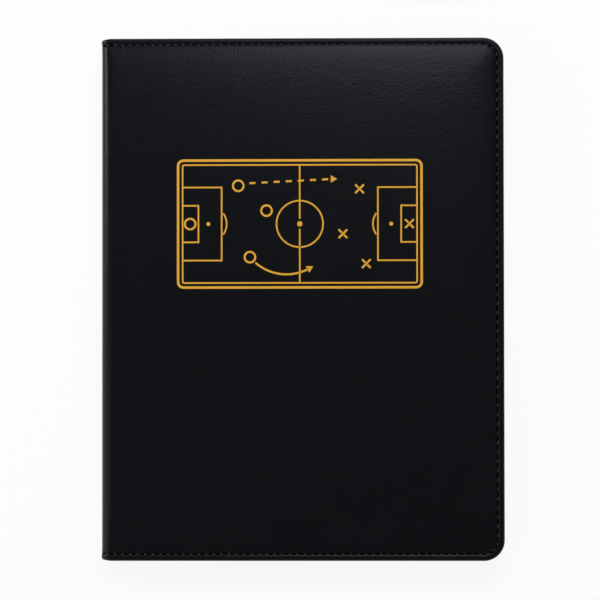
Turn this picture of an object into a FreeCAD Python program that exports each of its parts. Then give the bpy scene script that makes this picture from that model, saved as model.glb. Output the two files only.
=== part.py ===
"""A coach's tactics folder, closed and lying on its back cover.

X runs across the folder with the spine at its low end, Y runs up the cover, Z is up.
The origin is under the middle of the folder, on the surface that it lies on.
"""
import FreeCAD, Part
import enum
import math
import os

import Sketcher

Vector = FreeCAD.Vector

# Driving sizes, in millimetres
SIZES = {
    # the layers of a cover
    "skin_thickness": 0.8,
    "foam_thickness": 1.6,
    "board_thickness": 1.8,
    "lining_thickness": 0.5,
    # the sewn edge of a cover and the crown of its padding
    "corner_radius": 12.5,
    "hem_width": 3.5,
    "crown_offset": 1.2,
    "crown_shoulder_width": 3,
    "crown_shoulder_height": 1,
    "crown_slope_width": 9,
    "crown_corner_radius": 6,
    "crown_spine_shoulder_width": 1.2,
    "crown_spine_slope_width": 4,
    "turn_in_width": 14,
    "turn_in_corner_radius": 3,
    "lining_inset": 2,
    "stitch_pitch": 4.6,
    "side_stitch_pitch": 6,
    "stitch_length": 3.4,
    "stitch_width": 0.7,
    "stitch_height": 0.35,
    # the spine and its two creases
    "crease_radius": 4,
    "crease_board_gap": 1,
    "spine_board_thickness": 1.8,
    # the tactics panel inside the back cover
    "steel_thickness": 0.5,
    "steel_corner_radius": 3,
    "steel_edge_inset": 12,
    "steel_end_inset": 12.5,
    "film_thickness": 0.25,
    "film_inset": 0.5,
    "border_width": 6,
    "border_overlap": 3,
    "border_thickness": 0.8,
    "border_corner_radius": 5,
    "panel_clearance": 0.2,
    # the magnets, with each keeper's place from the goal line and each attack's from the halfway line
    "magnet_diameter": 14,
    "magnet_thickness": 3,
    "magnet_rim_width": 1.4,
    "magnet_dish_depth": 0.3,
    "magnet_edge_chamfer": 0.4,
    "ball_diameter": 10,
    "player_spacing": 42,
    "keeper_line": 14,
    "attack_line": 24,
    # the writing pad and its pocket inside the front cover
    "pad_width": 210,
    "pad_height": 297,
    "pad_edge_inset": 9,
    "pad_end_inset": 9,
    "pad_magnet_gap": 1.05,
    "backing_thickness": 0.8,
    "paper_thickness": 5,
    "tape_thickness": 0.2,
    "tape_height": 14,
    "pocket_height": 92,
    "pocket_thickness": 0.8,
    "pocket_rim_width": 3,
    "pocket_clearance": 0.5,
    "slot_clearance": 0.1,
    # the marker and its loop in the gutter beside the spine
    "marker_diameter": 10,
    "marker_wall": 1.6,
    "marker_spine_gap": 1.2,
    "marker_cover_gap": 0.5,
    "marker_pocket_gap": 3.7,
    "marker_rear_place": -50,
    "barrel_length": 84,
    "neck_step": 0.8,
    "neck_length": 14,
    "nib_diameter": 4,
    "nib_length": 6,
    "nib_seat": 5,
    "nib_tip_diameter": 1.6,
    "nib_taper_length": 3,
    "core_clearance": 0.1,
    "plug_flange": 2,
    "plug_spigot": 5,
    "cap_lip": 0.4,
    "cap_nib_gap": 3,
    "cap_end_length": 9,
    "cap_edge_chamfer": 0.8,
    "cap_clearance": 0.05,
    "eraser_diameter": 9,
    "eraser_length": 5,
    "eraser_chamfer": 0.7,
    "loop_width": 22,
    "loop_thickness": 0.7,
    "loop_clearance": 0.05,
    "loop_tab_start": 2,
    "loop_tab_length": 3.75,
    "loop_panel_gap": 1.45,
}

# Players in each line of a team, from the keeper to the attack
HOME_LINE_UP = "1-4-4-2"
AWAY_LINE_UP = "1-4-3-3"

doc = FreeCAD.newDocument("TacticsFolder")
sheet = doc.addObject("Spreadsheet::Sheet", "Sizes")
for row, (alias, size) in enumerate(SIZES.items(), start=1):
    sheet.set(f"A{row}", alias)
    sheet.set(f"B{row}", str(size))
    sheet.setAlias(f"B{row}", alias)
doc.recompute()


class Cells:
    """Cells().hem_width is the expression that reads the sheet's cell of that name."""

    def __getattr__(self, alias):
        if alias not in SIZES:
            raise AttributeError(alias)
        return f"Sizes.{alias}"


s = Cells()


def value(expression):
    """What an expression on the sheet's cells comes to."""
    return float(sheet.evalExpression(str(expression)))


# The folder is as wide and as high as the pad, the marker's gutter and the spine need
LOOP_BORE = f"({s.marker_diameter} / 2 + {s.loop_clearance})"
LOOP_RADIUS = f"({LOOP_BORE} + {s.loop_thickness})"
SPINE_STACK = f"({s.skin_thickness} + {s.spine_board_thickness} + {s.lining_thickness})"
GUTTER = f"({s.marker_spine_gap} + 2 * {LOOP_RADIUS} + {s.marker_pocket_gap})"
POCKET_ROOM = f"({s.pocket_clearance} + {s.pocket_rim_width})"
FOLDER_WIDTH = f"({SPINE_STACK} + {GUTTER} + {POCKET_ROOM} + {s.pad_width} + {s.pad_edge_inset})"
FOLDER_HEIGHT = f"({s.pad_height} + 2 * {s.pad_end_inset})"

# Planes that several pieces share, as expressions on the sheet
SPINE_FACE = f"(-{FOLDER_WIDTH} / 2)"
RIGHT_EDGE = f"({FOLDER_WIDTH} / 2)"
TOP_EDGE = f"({FOLDER_HEIGHT} / 2)"
CREASE = f"({SPINE_FACE} + {s.crease_radius})"
BOARD_LEFT = f"({CREASE} + {s.crease_board_gap})"
HEM_DEPTH = f"({s.foam_thickness})"
BOARD_DEPTH = f"({HEM_DEPTH} + {s.skin_thickness})"
TURN_IN_DEPTH = f"({BOARD_DEPTH} + {s.board_thickness})"
LINING_DEPTH = f"({TURN_IN_DEPTH} + {s.skin_thickness})"
COVER = f"({LINING_DEPTH} + {s.lining_thickness})"

# Between the covers there is room for the marker in its loop, and for the pad above the magnets
PANEL_STACK = f"({s.steel_thickness} + {s.film_thickness} + {s.magnet_thickness})"
SLOT_STACK = f"({s.backing_thickness} + {s.pocket_thickness} + 2 * {s.slot_clearance})"
PAD_STACK = f"({SLOT_STACK} + {s.paper_thickness} + 2 * {s.tape_thickness})"
MARKER_ROOM = f"(2 * {LOOP_RADIUS} + {s.marker_cover_gap})"
PAD_ROOM = f"({PANEL_STACK} + {s.pad_magnet_gap} + {PAD_STACK})"
INTERIOR = f"max({MARKER_ROOM}; {PAD_ROOM})"
FOLDER_THICKNESS = f"(2 * {COVER} + {INTERIOR})"


def level(side, depth):
    """Height of a plane that lies depth below the outer face of one cover."""
    return f"({FOLDER_THICKNESS} - {depth})" if side == "front" else f"({depth})"


def low_level(side, outer, inner):
    """Height of the lower face of a layer between two depths of one cover."""
    return level(side, inner) if side == "front" else level(side, outer)


# Sketches and features

def new_body(label):
    body = doc.addObject("PartDesign::Body", label)
    body.Label = label
    return body


def origin_feature(body, role):
    return next(item for item in body.Origin.OriginFeatures if item.Role == role)


def new_sketch(body, plane="XY_Plane", place=("0", "0", "0")):
    """A sketch on one of the body's own planes, with its origin moved along that plane's axes."""
    sketch = body.newObject("Sketcher::SketchObject", f"{body.Label}_sketch")
    sketch.AttachmentSupport = (origin_feature(body, plane), [""])
    sketch.MapMode = "FlatFace"
    for axis, expression in zip("xyz", place):
        sketch.setExpression(f"AttachmentOffset.Base.{axis}", str(expression))
    return sketch


def dimension(sketch, kind, arguments, expression, name):
    """A named dimension of a sketch, bound to an expression."""
    index = sketch.addConstraint(Sketcher.Constraint(kind, *arguments, value(expression)))
    sketch.renameConstraint(index, name)
    sketch.setExpression(f"Constraints.{name}", str(expression))


def tie(sketch, kind, *arguments):
    sketch.addConstraint(Sketcher.Constraint(kind, *arguments))


class Spot(enum.IntEnum):
    """Points of a sketch's line or arc, as the constraints count them."""
    START = 1
    END = 2
    CENTRE = 3


class Axis(enum.IntEnum):
    """A sketch's own axes, as the constraints count them. The X axis starts at the origin."""
    X = -1
    Y = -2


ORIGIN = (Axis.X, Spot.START)


def draw_outline(sketch, width, height, right_radius=None, left_radius=None):
    """A rectangle from the sketch's origin, with round corners where a radius is given."""
    across, up = value(width), value(height)
    radii = (left_radius, right_radius, right_radius, left_radius)
    corners = ((0, 0), (across, 0), (across, up), (0, up))
    ways = ((1, 0), (0, 1), (-1, 0), (0, -1))
    trims = [value(radius) if radius else 0 for radius in radii]
    lines = []
    for side, (x, y) in enumerate(corners):
        way = ways[side]
        after = (side + 1) % len(corners)
        end_x, end_y = corners[after]
        start = Vector(x + way[0] * trims[side], y + way[1] * trims[side])
        end = Vector(end_x - way[0] * trims[after], end_y - way[1] * trims[after])
        lines.append(sketch.addGeometry(Part.LineSegment(start, end), False))
        tie(sketch, "Horizontal" if way[0] else "Vertical", lines[-1])
    bottom, right, top, left = lines
    tie(sketch, "PointOnObject", bottom, Spot.START, Axis.X)
    tie(sketch, "PointOnObject", left, Spot.START, Axis.Y)
    first_arc = {}
    for corner, (x, y) in enumerate(corners):
        before = lines[corner - 1]
        if not trims[corner]:
            tie(sketch, "Coincident", before, Spot.END, lines[corner], Spot.START)
            continue
        trim = trims[corner]
        centre = Vector(x + trim if x == 0 else x - trim, y + trim if y == 0 else y - trim)
        turn = math.pi + corner * math.pi / 2
        circle = Part.Circle(centre, Vector(0, 0, 1), trim)
        arc = sketch.addGeometry(Part.ArcOfCircle(circle, turn, turn + math.pi / 2), False)
        tie(sketch, "Tangent", before, Spot.END, arc, Spot.START)
        tie(sketch, "Tangent", arc, Spot.END, lines[corner], Spot.START)
        side = "right" if x else "left"
        if side in first_arc:
            tie(sketch, "Equal", first_arc[side], arc)
        else:
            first_arc[side] = arc
            dimension(sketch, "Radius", (arc,), radii[corner], f"{side}_round")
    dimension(sketch, "DistanceX", (*ORIGIN, right, Spot.START), width, "across")
    dimension(sketch, "DistanceY", (*ORIGIN, top, Spot.START), height, "upward")


def draw_profile(sketch, points):
    """A closed profile through (radius, place) points, all to the right of the sketch's Y axis."""
    spots = [Vector(value(radius), value(place)) for radius, place in points]
    lines = []
    for start, end in zip(spots, spots[1:] + spots[:1]):
        lines.append(sketch.addGeometry(Part.LineSegment(start, end), False))
    for index, line in enumerate(lines):
        tie(sketch, "Coincident", lines[index - 1], Spot.END, line, Spot.START)
    for index, (line, (radius, place)) in enumerate(zip(lines, points)):
        if radius == "0":
            tie(sketch, "PointOnObject", line, Spot.START, Axis.Y)
        else:
            dimension(sketch, "DistanceX", (*ORIGIN, line, Spot.START), radius, f"radius_{index}")
        if place == "0":
            tie(sketch, "PointOnObject", line, Spot.START, Axis.X)
        else:
            dimension(sketch, "DistanceY", (*ORIGIN, line, Spot.START), place, f"place_{index}")


def draw_sector(sketch, inner, outer, start_degrees, end_degrees):
    """Part of a ring about the sketch's origin."""
    turns = [math.radians(start_degrees), math.radians(end_degrees)]
    arcs = []
    for radius, name in ((inner, "inner_round"), (outer, "outer_round")):
        circle = Part.Circle(Vector(), Vector(0, 0, 1), value(radius))
        arcs.append(sketch.addGeometry(Part.ArcOfCircle(circle, *turns), False))
        tie(sketch, "Coincident", arcs[-1], Spot.CENTRE, *ORIGIN)
        dimension(sketch, "Radius", (arcs[-1],), radius, name)
    for turn, end in zip(turns, (Spot.START, Spot.END)):
        way = Vector(math.cos(turn), math.sin(turn))
        segment = Part.LineSegment(way * value(inner), way * value(outer))
        line = sketch.addGeometry(segment, False)
        tie(sketch, "Coincident", arcs[0], end, line, Spot.START)
        tie(sketch, "Coincident", arcs[1], end, line, Spot.END)
        tie(sketch, "Angle", line, turn)


def draw_ring(sketch, inner, outer):
    for radius, name in ((inner, "inner_round"), (outer, "outer_round")):
        circle = Part.Circle(Vector(), Vector(0, 0, 1), value(radius))
        index = sketch.addGeometry(circle, False)
        tie(sketch, "Coincident", index, Spot.CENTRE, *ORIGIN)
        dimension(sketch, "Radius", (index,), radius, name)


cuts = []


def pad(body, sketch, length, symmetric=False):
    feature = body.newObject("PartDesign::Pad", f"{body.Label}_pad")
    feature.Profile = sketch
    feature.SideType = "Symmetric" if symmetric else "One side"
    feature.setExpression("Length", str(length))
    return feature


def cut(body, sketch, length):
    """A pocket that starts at its sketch and goes up."""
    feature = body.newObject("PartDesign::Pocket", f"{body.Label}_pocket")
    feature.Profile = sketch
    feature.Reversed = True
    feature.setExpression("Length", str(length))
    cuts.append(feature)
    return feature


def loft(body, sketches, kind="Additive"):
    feature = body.newObject(f"PartDesign::{kind}Loft", f"{body.Label}_loft")
    feature.Profile = sketches[0]
    feature.Sections = sketches[1:]
    feature.Ruled = True
    if kind == "Subtractive":
        cuts.append(feature)
    return feature


def revolve(body, sketch):
    """A full turn about the sketch's Y axis."""
    feature = body.newObject("PartDesign::Revolution", f"{body.Label}_turn")
    feature.Profile = sketch
    feature.ReferenceAxis = (sketch, ["V_Axis"])
    feature.Angle = 360
    return feature


def slab(body, low, thickness, left, right, bottom, top, right_radius=None, left_radius=None, make=pad):
    """A flat layer between four edges, added or cut away, from the height low upwards."""
    sketch = new_sketch(body, place=(left, bottom, low))
    draw_outline(sketch, f"{right} - {left}", f"{top} - {bottom}", right_radius, left_radius)
    return make(body, sketch, thickness)


def cover_layer(body, side, outer, inner, inset, radius, left=CREASE, make=pad):
    """A layer of a cover between two depths, inset from its three free edges."""
    edge = f"({TOP_EDGE} - {inset})"
    right = f"({RIGHT_EDGE} - {inset})"
    low = low_level(side, outer, inner)
    return slab(body, low, f"{inner} - {outer}", left, right, f"(-{edge})", edge, radius, make=make)


# Covers

def crown(body, side, sunk, kind="Additive"):
    """The padded crown, from its foot beside the stitches to its flat top, sunk by a depth."""
    foot = f"({s.hem_width} + {s.crown_offset})"
    foot_radius = f"({s.corner_radius} - {foot})"
    shoulder_depth = f"({HEM_DEPTH} - {s.crown_shoulder_height})"
    steps = (
        (foot, "0", HEM_DEPTH, foot_radius),
        (f"({foot} + {s.crown_shoulder_width})", s.crown_spine_shoulder_width, shoulder_depth,
         s.crown_corner_radius),
        (f"({foot} + {s.crown_slope_width})", s.crown_spine_slope_width, "0", s.crown_corner_radius),
    )
    sketches = []
    for inset, spine_inset, depth, radius in steps:
        edge = f"({TOP_EDGE} - {inset})"
        left = f"({CREASE} + {spine_inset})"
        place = (left, f"(-{edge})", level(side, f"({depth} + {sunk})"))
        sketch = new_sketch(body, place=place)
        draw_outline(sketch, f"{RIGHT_EDGE} - {inset} - {left}", f"2 * {edge}", radius)
        sketches.append(sketch)
    return loft(body, sketches, kind)


def crease_arc(body, side, start_degrees, end_degrees):
    """Half of the bend that the skin makes from a cover into the spine."""
    centre = level(side, f"({HEM_DEPTH} + {s.crease_radius})")
    sketch = new_sketch(body, "XZ_Plane", (CREASE, centre, "0"))
    inner = f"({s.crease_radius} - {s.skin_thickness})"
    draw_sector(sketch, inner, s.crease_radius, start_degrees, end_degrees)
    return pad(body, sketch, FOLDER_HEIGHT, symmetric=True)


def cover_skin(side):
    """Leatherette round the foam and the board, turned in on three edges, with its half of the crease."""
    body = new_body(f"{side}_cover_skin")
    open_left = f"({CREASE} - {s.crease_board_gap})"
    core_radius = f"({s.corner_radius} - {s.skin_thickness})"
    cover_layer(body, side, HEM_DEPTH, LINING_DEPTH, "0", s.corner_radius)
    crown(body, side, "0")
    cover_layer(body, side, BOARD_DEPTH, TURN_IN_DEPTH, s.skin_thickness, core_radius, open_left, cut)
    crown(body, side, s.skin_thickness, "Subtractive")
    cover_layer(body, side, TURN_IN_DEPTH, LINING_DEPTH, s.turn_in_width, s.turn_in_corner_radius,
                open_left, cut)
    if side == "front":
        crease_arc(body, side, 90, 135)
    else:
        crease_arc(body, side, 225, 270)
    return body


def cover_foam(side):
    body = new_body(f"{side}_cover_foam")
    crown(body, side, s.skin_thickness)
    return body


def cover_board(side):
    body = new_body(f"{side}_cover_board")
    radius = f"({s.corner_radius} - {s.skin_thickness})"
    cover_layer(body, side, BOARD_DEPTH, TURN_IN_DEPTH, s.skin_thickness, radius, BOARD_LEFT)
    return body


def cover_lining(side):
    """Fills the space between the turned-in edges and covers them up to a narrow margin."""
    body = new_body(f"{side}_cover_lining")
    radius = f"({s.corner_radius} - {s.lining_inset})"
    cover_layer(body, side, TURN_IN_DEPTH, LINING_DEPTH, s.turn_in_width, s.turn_in_corner_radius, BOARD_LEFT)
    cover_layer(body, side, LINING_DEPTH, COVER, s.lining_inset, radius, BOARD_LEFT)
    return body


def stitch_runs():
    """The sewn line round a cover's three free edges, with the pitch of each run."""
    right = value(f"{RIGHT_EDGE} - {s.hem_width}")
    top = value(f"{TOP_EDGE} - {s.hem_width}")
    left = value(CREASE)
    radius = value(f"{s.corner_radius} - {s.hem_width}")
    upright = Vector(0, 0, 1)
    pitch, side_pitch = value(s.stitch_pitch), value(s.side_stitch_pitch)
    low_turn = Part.Circle(Vector(right - radius, radius - top), upright, radius)
    high_turn = Part.Circle(Vector(right - radius, top - radius), upright, radius)
    return (
        (Part.LineSegment(Vector(left, -top), Vector(right - radius, -top)), pitch),
        (Part.ArcOfCircle(low_turn, -math.pi / 2, 0), pitch),
        (Part.LineSegment(Vector(right, radius - top), Vector(right, top - radius)), side_pitch),
        (Part.ArcOfCircle(high_turn, 0, math.pi / 2), pitch),
        (Part.LineSegment(Vector(right - radius, top), Vector(left, top)), pitch),
    )


def cover_stitching(side):
    """One bar of thread for each stitch, lying on the hem."""
    length, width, height = value(s.stitch_length), value(s.stitch_width), value(s.stitch_height)
    low = value(level(side, HEM_DEPTH)) - (height if side == "back" else 0)
    stitches = []
    for line, pitch in stitch_runs():
        edge = line.toShape()
        count = max(1, round(edge.Length / pitch))
        first, last = edge.ParameterRange
        for number in range(count):
            spot = first + (number + 0.5) * (last - first) / count
            way = edge.tangentAt(spot)
            stitch = Part.makeBox(length, width, height, Vector(-length / 2, -width / 2, low))
            turn = FreeCAD.Rotation(Vector(1, 0, 0), way)
            stitch.Placement = FreeCAD.Placement(edge.valueAt(spot), turn)
            stitches.append(stitch)
    feature = doc.addObject("Part::Feature", f"{side}_cover_stitching")
    feature.Shape = Part.makeCompound(stitches)
    return feature


# Spine

def spine_skin():
    body = new_body("spine_skin")
    low = level("back", f"({HEM_DEPTH} + {s.crease_radius})")
    height = f"({FOLDER_THICKNESS} - 2 * {low})"
    slab(body, low, height, SPINE_FACE, f"({SPINE_FACE} + {s.skin_thickness})", f"(-{TOP_EDGE})", TOP_EDGE)
    crease_arc(body, "front", 135, 180)
    crease_arc(body, "back", 180, 225)
    return body


SPINE_BOARD_LEFT = f"({SPINE_FACE} + {s.skin_thickness})"
SPINE_LINING_LEFT = f"({SPINE_BOARD_LEFT} + {s.spine_board_thickness})"
GUTTER_LEFT = f"({SPINE_FACE} + {SPINE_STACK})"


def spine_layer(label, left, right, end_inset):
    """A strip along the spine between its two creases."""
    body = new_body(label)
    low = f"({HEM_DEPTH} + {s.crease_radius})"
    edge = f"({TOP_EDGE} - {end_inset})"
    slab(body, low, f"({FOLDER_THICKNESS} - 2 * {low})", left, right, f"(-{edge})", edge)
    return body


# Tactics panel, from the pen loop's tab to the free edge

MARKER_ACROSS = f"({GUTTER_LEFT} + {s.marker_spine_gap} + {LOOP_RADIUS})"
TAB_END = f"({MARKER_ACROSS} + {LOOP_RADIUS} + {s.loop_tab_length})"
BORDER_REACH = f"({s.border_width} - {s.border_overlap})"
STEEL_LEFT = f"({TAB_END} + {s.loop_panel_gap} + {BORDER_REACH})"
STEEL_RIGHT = f"({RIGHT_EDGE} - {s.steel_edge_inset})"
STEEL_TOP = f"({TOP_EDGE} - {s.steel_end_inset})"
FILM_TOP = f"({COVER} + {s.steel_thickness} + {s.film_thickness})"


def panel_slab(body, low, thickness, grow, radius, make=pad):
    """A layer with the steel sheet's outline, grown or shrunk all round."""
    edge = f"({STEEL_TOP} + {grow})"
    left, right = f"({STEEL_LEFT} - {grow})", f"({STEEL_RIGHT} + {grow})"
    return slab(body, low, thickness, left, right, f"(-{edge})", edge, radius, radius, make)


def steel_sheet():
    body = new_body("steel_sheet")
    panel_slab(body, COVER, s.steel_thickness, "0", s.steel_corner_radius)
    return body


def pitch_film():
    body = new_body("pitch_film")
    radius = f"({s.steel_corner_radius} - {s.film_inset})"
    panel_slab(body, f"({COVER} + {s.steel_thickness})", s.film_thickness, f"(-{s.film_inset})", radius)
    return body


def board_border():
    """Leatherette frame sewn over the edge of the steel sheet and its film."""
    body = new_body("board_border")
    rebate = f"({s.steel_thickness} + {s.film_thickness})"
    height = f"({rebate} + {s.border_thickness})"
    panel_slab(body, COVER, height, BORDER_REACH, s.border_corner_radius)
    seat_radius = f"({s.steel_corner_radius} + {s.panel_clearance})"
    panel_slab(body, COVER, rebate, s.panel_clearance, seat_radius, cut)
    panel_slab(body, COVER, height, f"(-{s.border_overlap})", s.steel_corner_radius, cut)
    return body


# Magnets

PANEL_MIDDLE = f"(({STEEL_LEFT} + {STEEL_RIGHT}) / 2)"
GOAL_LINE = f"({STEEL_TOP} - {s.border_overlap})"


def magnet(label, diameter, across, up):
    """A moulded magnetic disc with a raised rim round its face, standing on the film."""
    body = new_body(label)
    sketch = new_sketch(body, "XZ_Plane")
    radius = f"({diameter} / 2)"
    face_radius = f"({radius} - {s.magnet_rim_width})"
    face = f"({s.magnet_thickness} - {s.magnet_dish_depth})"
    draw_profile(sketch, (
        ("0", "0"),
        (f"({radius} - {s.magnet_edge_chamfer})", "0"),
        (radius, s.magnet_edge_chamfer),
        (radius, f"({s.magnet_thickness} - {s.magnet_edge_chamfer})"),
        (f"({radius} - {s.magnet_edge_chamfer})", s.magnet_thickness),
        (face_radius, s.magnet_thickness),
        (f"({face_radius} - {s.magnet_dish_depth})", face),
        ("0", face),
    ))
    revolve(body, sketch)
    for axis, place in zip("xyz", (across, up, FILM_TOP)):
        body.setExpression(f"Placement.Base.{axis}", place)
    return body


def team(name, line_up, end):
    """A team in evenly spaced lines on its own half of the pitch, from the keeper to the attack."""
    keeper = f"({GOAL_LINE} - {s.keeper_line})"
    lines = [int(players) for players in line_up.split("-")]
    magnets = []
    for line, players in enumerate(lines):
        advance = f"({keeper} - {s.attack_line}) * {line} / {len(lines) - 1}"
        up = f"({end} * ({keeper} - {advance}))"
        for player in range(players):
            step = (players - 1) / 2 - player
            across = f"({PANEL_MIDDLE} + {end} * ({step}) * {s.player_spacing})"
            label = f"{name}_magnet_{len(magnets) + 1:02d}"
            magnets.append(magnet(label, s.magnet_diameter, across, up))
    return magnets


# Writing pad

INNER_FACE = level("front", COVER)
PAD_RIGHT = f"({RIGHT_EDGE} - {s.pad_edge_inset})"
PAD_LEFT = f"({PAD_RIGHT} - {s.pad_width})"
PAD_TOP = f"({s.pad_height} / 2)"
BACKING_LOW = f"({INNER_FACE} - {s.tape_thickness} - {s.backing_thickness})"
POCKET_LOW = f"({BACKING_LOW} - {s.slot_clearance} - {s.pocket_thickness})"
PAPER_HIGH = f"({POCKET_LOW} - {s.slot_clearance})"
PAPER_LOW = f"({PAPER_HIGH} - {s.paper_thickness})"


def pad_pocket():
    """Leatherette pocket sewn to the front lining on three edges, open at the top."""
    body = new_body("pad_pocket")
    bottom = f"(-{PAD_TOP} - {POCKET_ROOM})"
    top = f"({bottom} + {s.pocket_height})"
    left, right = f"({PAD_LEFT} - {POCKET_ROOM})", f"({PAD_RIGHT} + {POCKET_ROOM})"
    slab(body, POCKET_LOW, f"({INNER_FACE} - {POCKET_LOW})", left, right, bottom, top)
    slot_low = f"({POCKET_LOW} + {s.pocket_thickness})"
    slot_left = f"({PAD_LEFT} - {s.pocket_clearance})"
    slot_right = f"({PAD_RIGHT} + {s.pocket_clearance})"
    slot_bottom = f"(-{PAD_TOP} - {s.pocket_clearance})"
    slab(body, slot_low, f"({INNER_FACE} - {slot_low})", slot_left, slot_right, slot_bottom, top, make=cut)
    return body


def pad_layer(body, low, high, bottom=f"(-{PAD_TOP})", top=PAD_TOP, make=pad):
    return slab(body, low, f"({high} - {low})", PAD_LEFT, PAD_RIGHT, bottom, top, make=make)


PAD_HEAD = f"({PAD_TOP} - {s.tape_height})"


def pad_backing():
    body = new_body("pad_backing")
    pad_layer(body, BACKING_LOW, f"({BACKING_LOW} + {s.backing_thickness})")
    return body


def pad_sheets():
    """The block of sheets, glued to the backing card at its head."""
    body = new_body("pad_sheets")
    pad_layer(body, PAPER_LOW, PAPER_HIGH)
    pad_layer(body, PAPER_HIGH, BACKING_LOW, PAD_HEAD)
    return body


def pad_head_tape():
    """Cloth tape folded over the head of the pad."""
    body = new_body("pad_head_tape")
    backing_high = f"({BACKING_LOW} + {s.backing_thickness})"
    fold = f"({PAD_TOP} + {s.tape_thickness})"
    pad_layer(body, f"({PAPER_LOW} - {s.tape_thickness})", INNER_FACE, PAD_HEAD, fold)
    pad_layer(body, PAPER_LOW, backing_high, PAD_HEAD, PAD_TOP, cut)
    return body


# Marker

MARKER_LEVEL = f"({COVER} + {LOOP_RADIUS})"
SHOULDER = s.barrel_length
NECK_RADIUS = f"({s.marker_diameter} / 2 - {s.neck_step})"
NECK_END = f"({SHOULDER} + {s.neck_length})"
NIB_BASE = f"({NECK_END} - {s.nib_seat})"
CORE_BORE = f"({s.marker_diameter} / 2 - {s.marker_wall})"
CAP_BORE_END = f"({NECK_END} + {s.nib_length} + {s.cap_nib_gap})"
CAP_END = f"({CAP_BORE_END} + {s.cap_end_length})"


def turned(label, points):
    """A piece of the marker, turned about its long axis from (radius, place from the rear end) points."""
    body = new_body(label)
    sketch = new_sketch(body)
    draw_profile(sketch, points)
    revolve(body, sketch)
    for axis, place in zip("xyz", (MARKER_ACROSS, s.marker_rear_place, MARKER_LEVEL)):
        body.setExpression(f"Placement.Base.{axis}", place)
    return body


def marker_barrel():
    radius, nib = f"({s.marker_diameter} / 2)", f"({s.nib_diameter} / 2)"
    return turned("marker_barrel", (
        (CORE_BORE, "0"), (radius, "0"), (radius, SHOULDER), (NECK_RADIUS, SHOULDER),
        (NECK_RADIUS, NECK_END), (nib, NECK_END), (nib, NIB_BASE), (CORE_BORE, NIB_BASE),
    ))


def marker_nib():
    nib = f"({s.nib_diameter} / 2)"
    tip = f"({NECK_END} + {s.nib_length})"
    return turned("marker_nib", (
        ("0", NIB_BASE), (nib, NIB_BASE), (nib, f"({tip} - {s.nib_taper_length})"),
        (f"({s.nib_tip_diameter} / 2)", tip), ("0", tip),
    ))


def marker_ink_core():
    radius = f"({CORE_BORE} - {s.core_clearance})"
    return turned("marker_ink_core", (
        ("0", s.plug_spigot), (radius, s.plug_spigot), (radius, NIB_BASE), ("0", NIB_BASE),
    ))


def marker_end_plug():
    flange = f"(-{s.plug_flange})"
    return turned("marker_end_plug", (
        ("0", flange), (f"({s.marker_diameter} / 2 - {s.cap_edge_chamfer})", flange),
        (f"({s.marker_diameter} / 2)", f"({flange} + {s.cap_edge_chamfer})"),
        (f"({s.marker_diameter} / 2)", "0"), (CORE_BORE, "0"), (CORE_BORE, s.plug_spigot),
        ("0", s.plug_spigot),
    ))


def marker_cap():
    bore = f"({NECK_RADIUS} + {s.cap_clearance})"
    radius = f"({s.marker_diameter} / 2 + {s.cap_lip})"
    return turned("marker_cap", (
        (bore, SHOULDER), (radius, SHOULDER), (radius, f"({CAP_END} - {s.cap_edge_chamfer})"),
        (f"({radius} - {s.cap_edge_chamfer})", CAP_END), ("0", CAP_END), ("0", CAP_BORE_END),
        (bore, CAP_BORE_END),
    ))


def marker_eraser():
    radius = f"({s.eraser_diameter} / 2)"
    end = f"({CAP_END} + {s.eraser_length})"
    return turned("marker_eraser", (
        ("0", CAP_END), (radius, CAP_END), (radius, f"({end} - {s.eraser_chamfer})"),
        (f"({radius} - {s.eraser_chamfer})", end), ("0", end),
    ))


def pen_loop():
    """Elastic loop round the barrel, with a tab sewn to the back lining."""
    body = new_body("pen_loop")
    ring = new_sketch(body, "XZ_Plane", (MARKER_ACROSS, MARKER_LEVEL, "0"))
    draw_ring(ring, LOOP_BORE, LOOP_RADIUS)
    pad(body, ring, s.loop_width, symmetric=True)
    left = f"({MARKER_ACROSS} + {s.loop_tab_start})"
    edge = f"({s.loop_width} / 2)"
    slab(body, COVER, s.loop_thickness, left, TAB_END, f"(-{edge})", edge)
    return body


def build():
    nodes = []
    for side in ("front", "back"):
        for layer in (cover_skin, cover_foam, cover_board, cover_lining, cover_stitching):
            nodes.append(layer(side))
    nodes.append(spine_skin())
    nodes.append(spine_layer("spine_board", SPINE_BOARD_LEFT, SPINE_LINING_LEFT, s.skin_thickness))
    nodes.append(spine_layer("spine_lining", SPINE_LINING_LEFT, GUTTER_LEFT, s.lining_inset))
    for piece in (steel_sheet, pitch_film, board_border, pad_pocket, pad_backing, pad_sheets, pad_head_tape,
                  pen_loop, marker_barrel, marker_nib, marker_ink_core, marker_end_plug, marker_cap,
                  marker_eraser):
        nodes.append(piece())
    nodes += team("home", HOME_LINE_UP, -1)
    nodes += team("away", AWAY_LINE_UP, 1)
    nodes.append(magnet("ball_magnet", s.ball_diameter, PANEL_MIDDLE, "0"))
    return nodes


def check(nodes):
    """Stop if any object failed, a cut removed nothing, or a piece isn't sound."""
    for item in doc.Objects:
        if "Invalid" in item.State or "Error" in item.State:
            raise RuntimeError(f"{item.Label} failed: {item.State}")
    for feature in cuts:
        if feature.Shape.Volume >= feature.BaseFeature.Shape.Volume:
            raise RuntimeError(f"{feature.Label} cuts nothing")
    for node in nodes:
        shape = node.Shape
        if shape.isNull() or not shape.isValid() or shape.Volume <= 0:
            raise RuntimeError(f"{node.Label} has no sound shape")


nodes = build()
doc.recompute()
check(nodes)
os.makedirs("parts", exist_ok=True)
for node in nodes:
    node.Shape.exportStep(f"parts/{node.Label}.step")
overall = [round(value(length), 2) for length in (FOLDER_WIDTH, FOLDER_HEIGHT, FOLDER_THICKNESS)]
print(len(nodes), "pieces,", overall, "mm closed")
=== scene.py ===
import math

import bmesh
import bpy
from mathutils import Matrix, Vector


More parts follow.
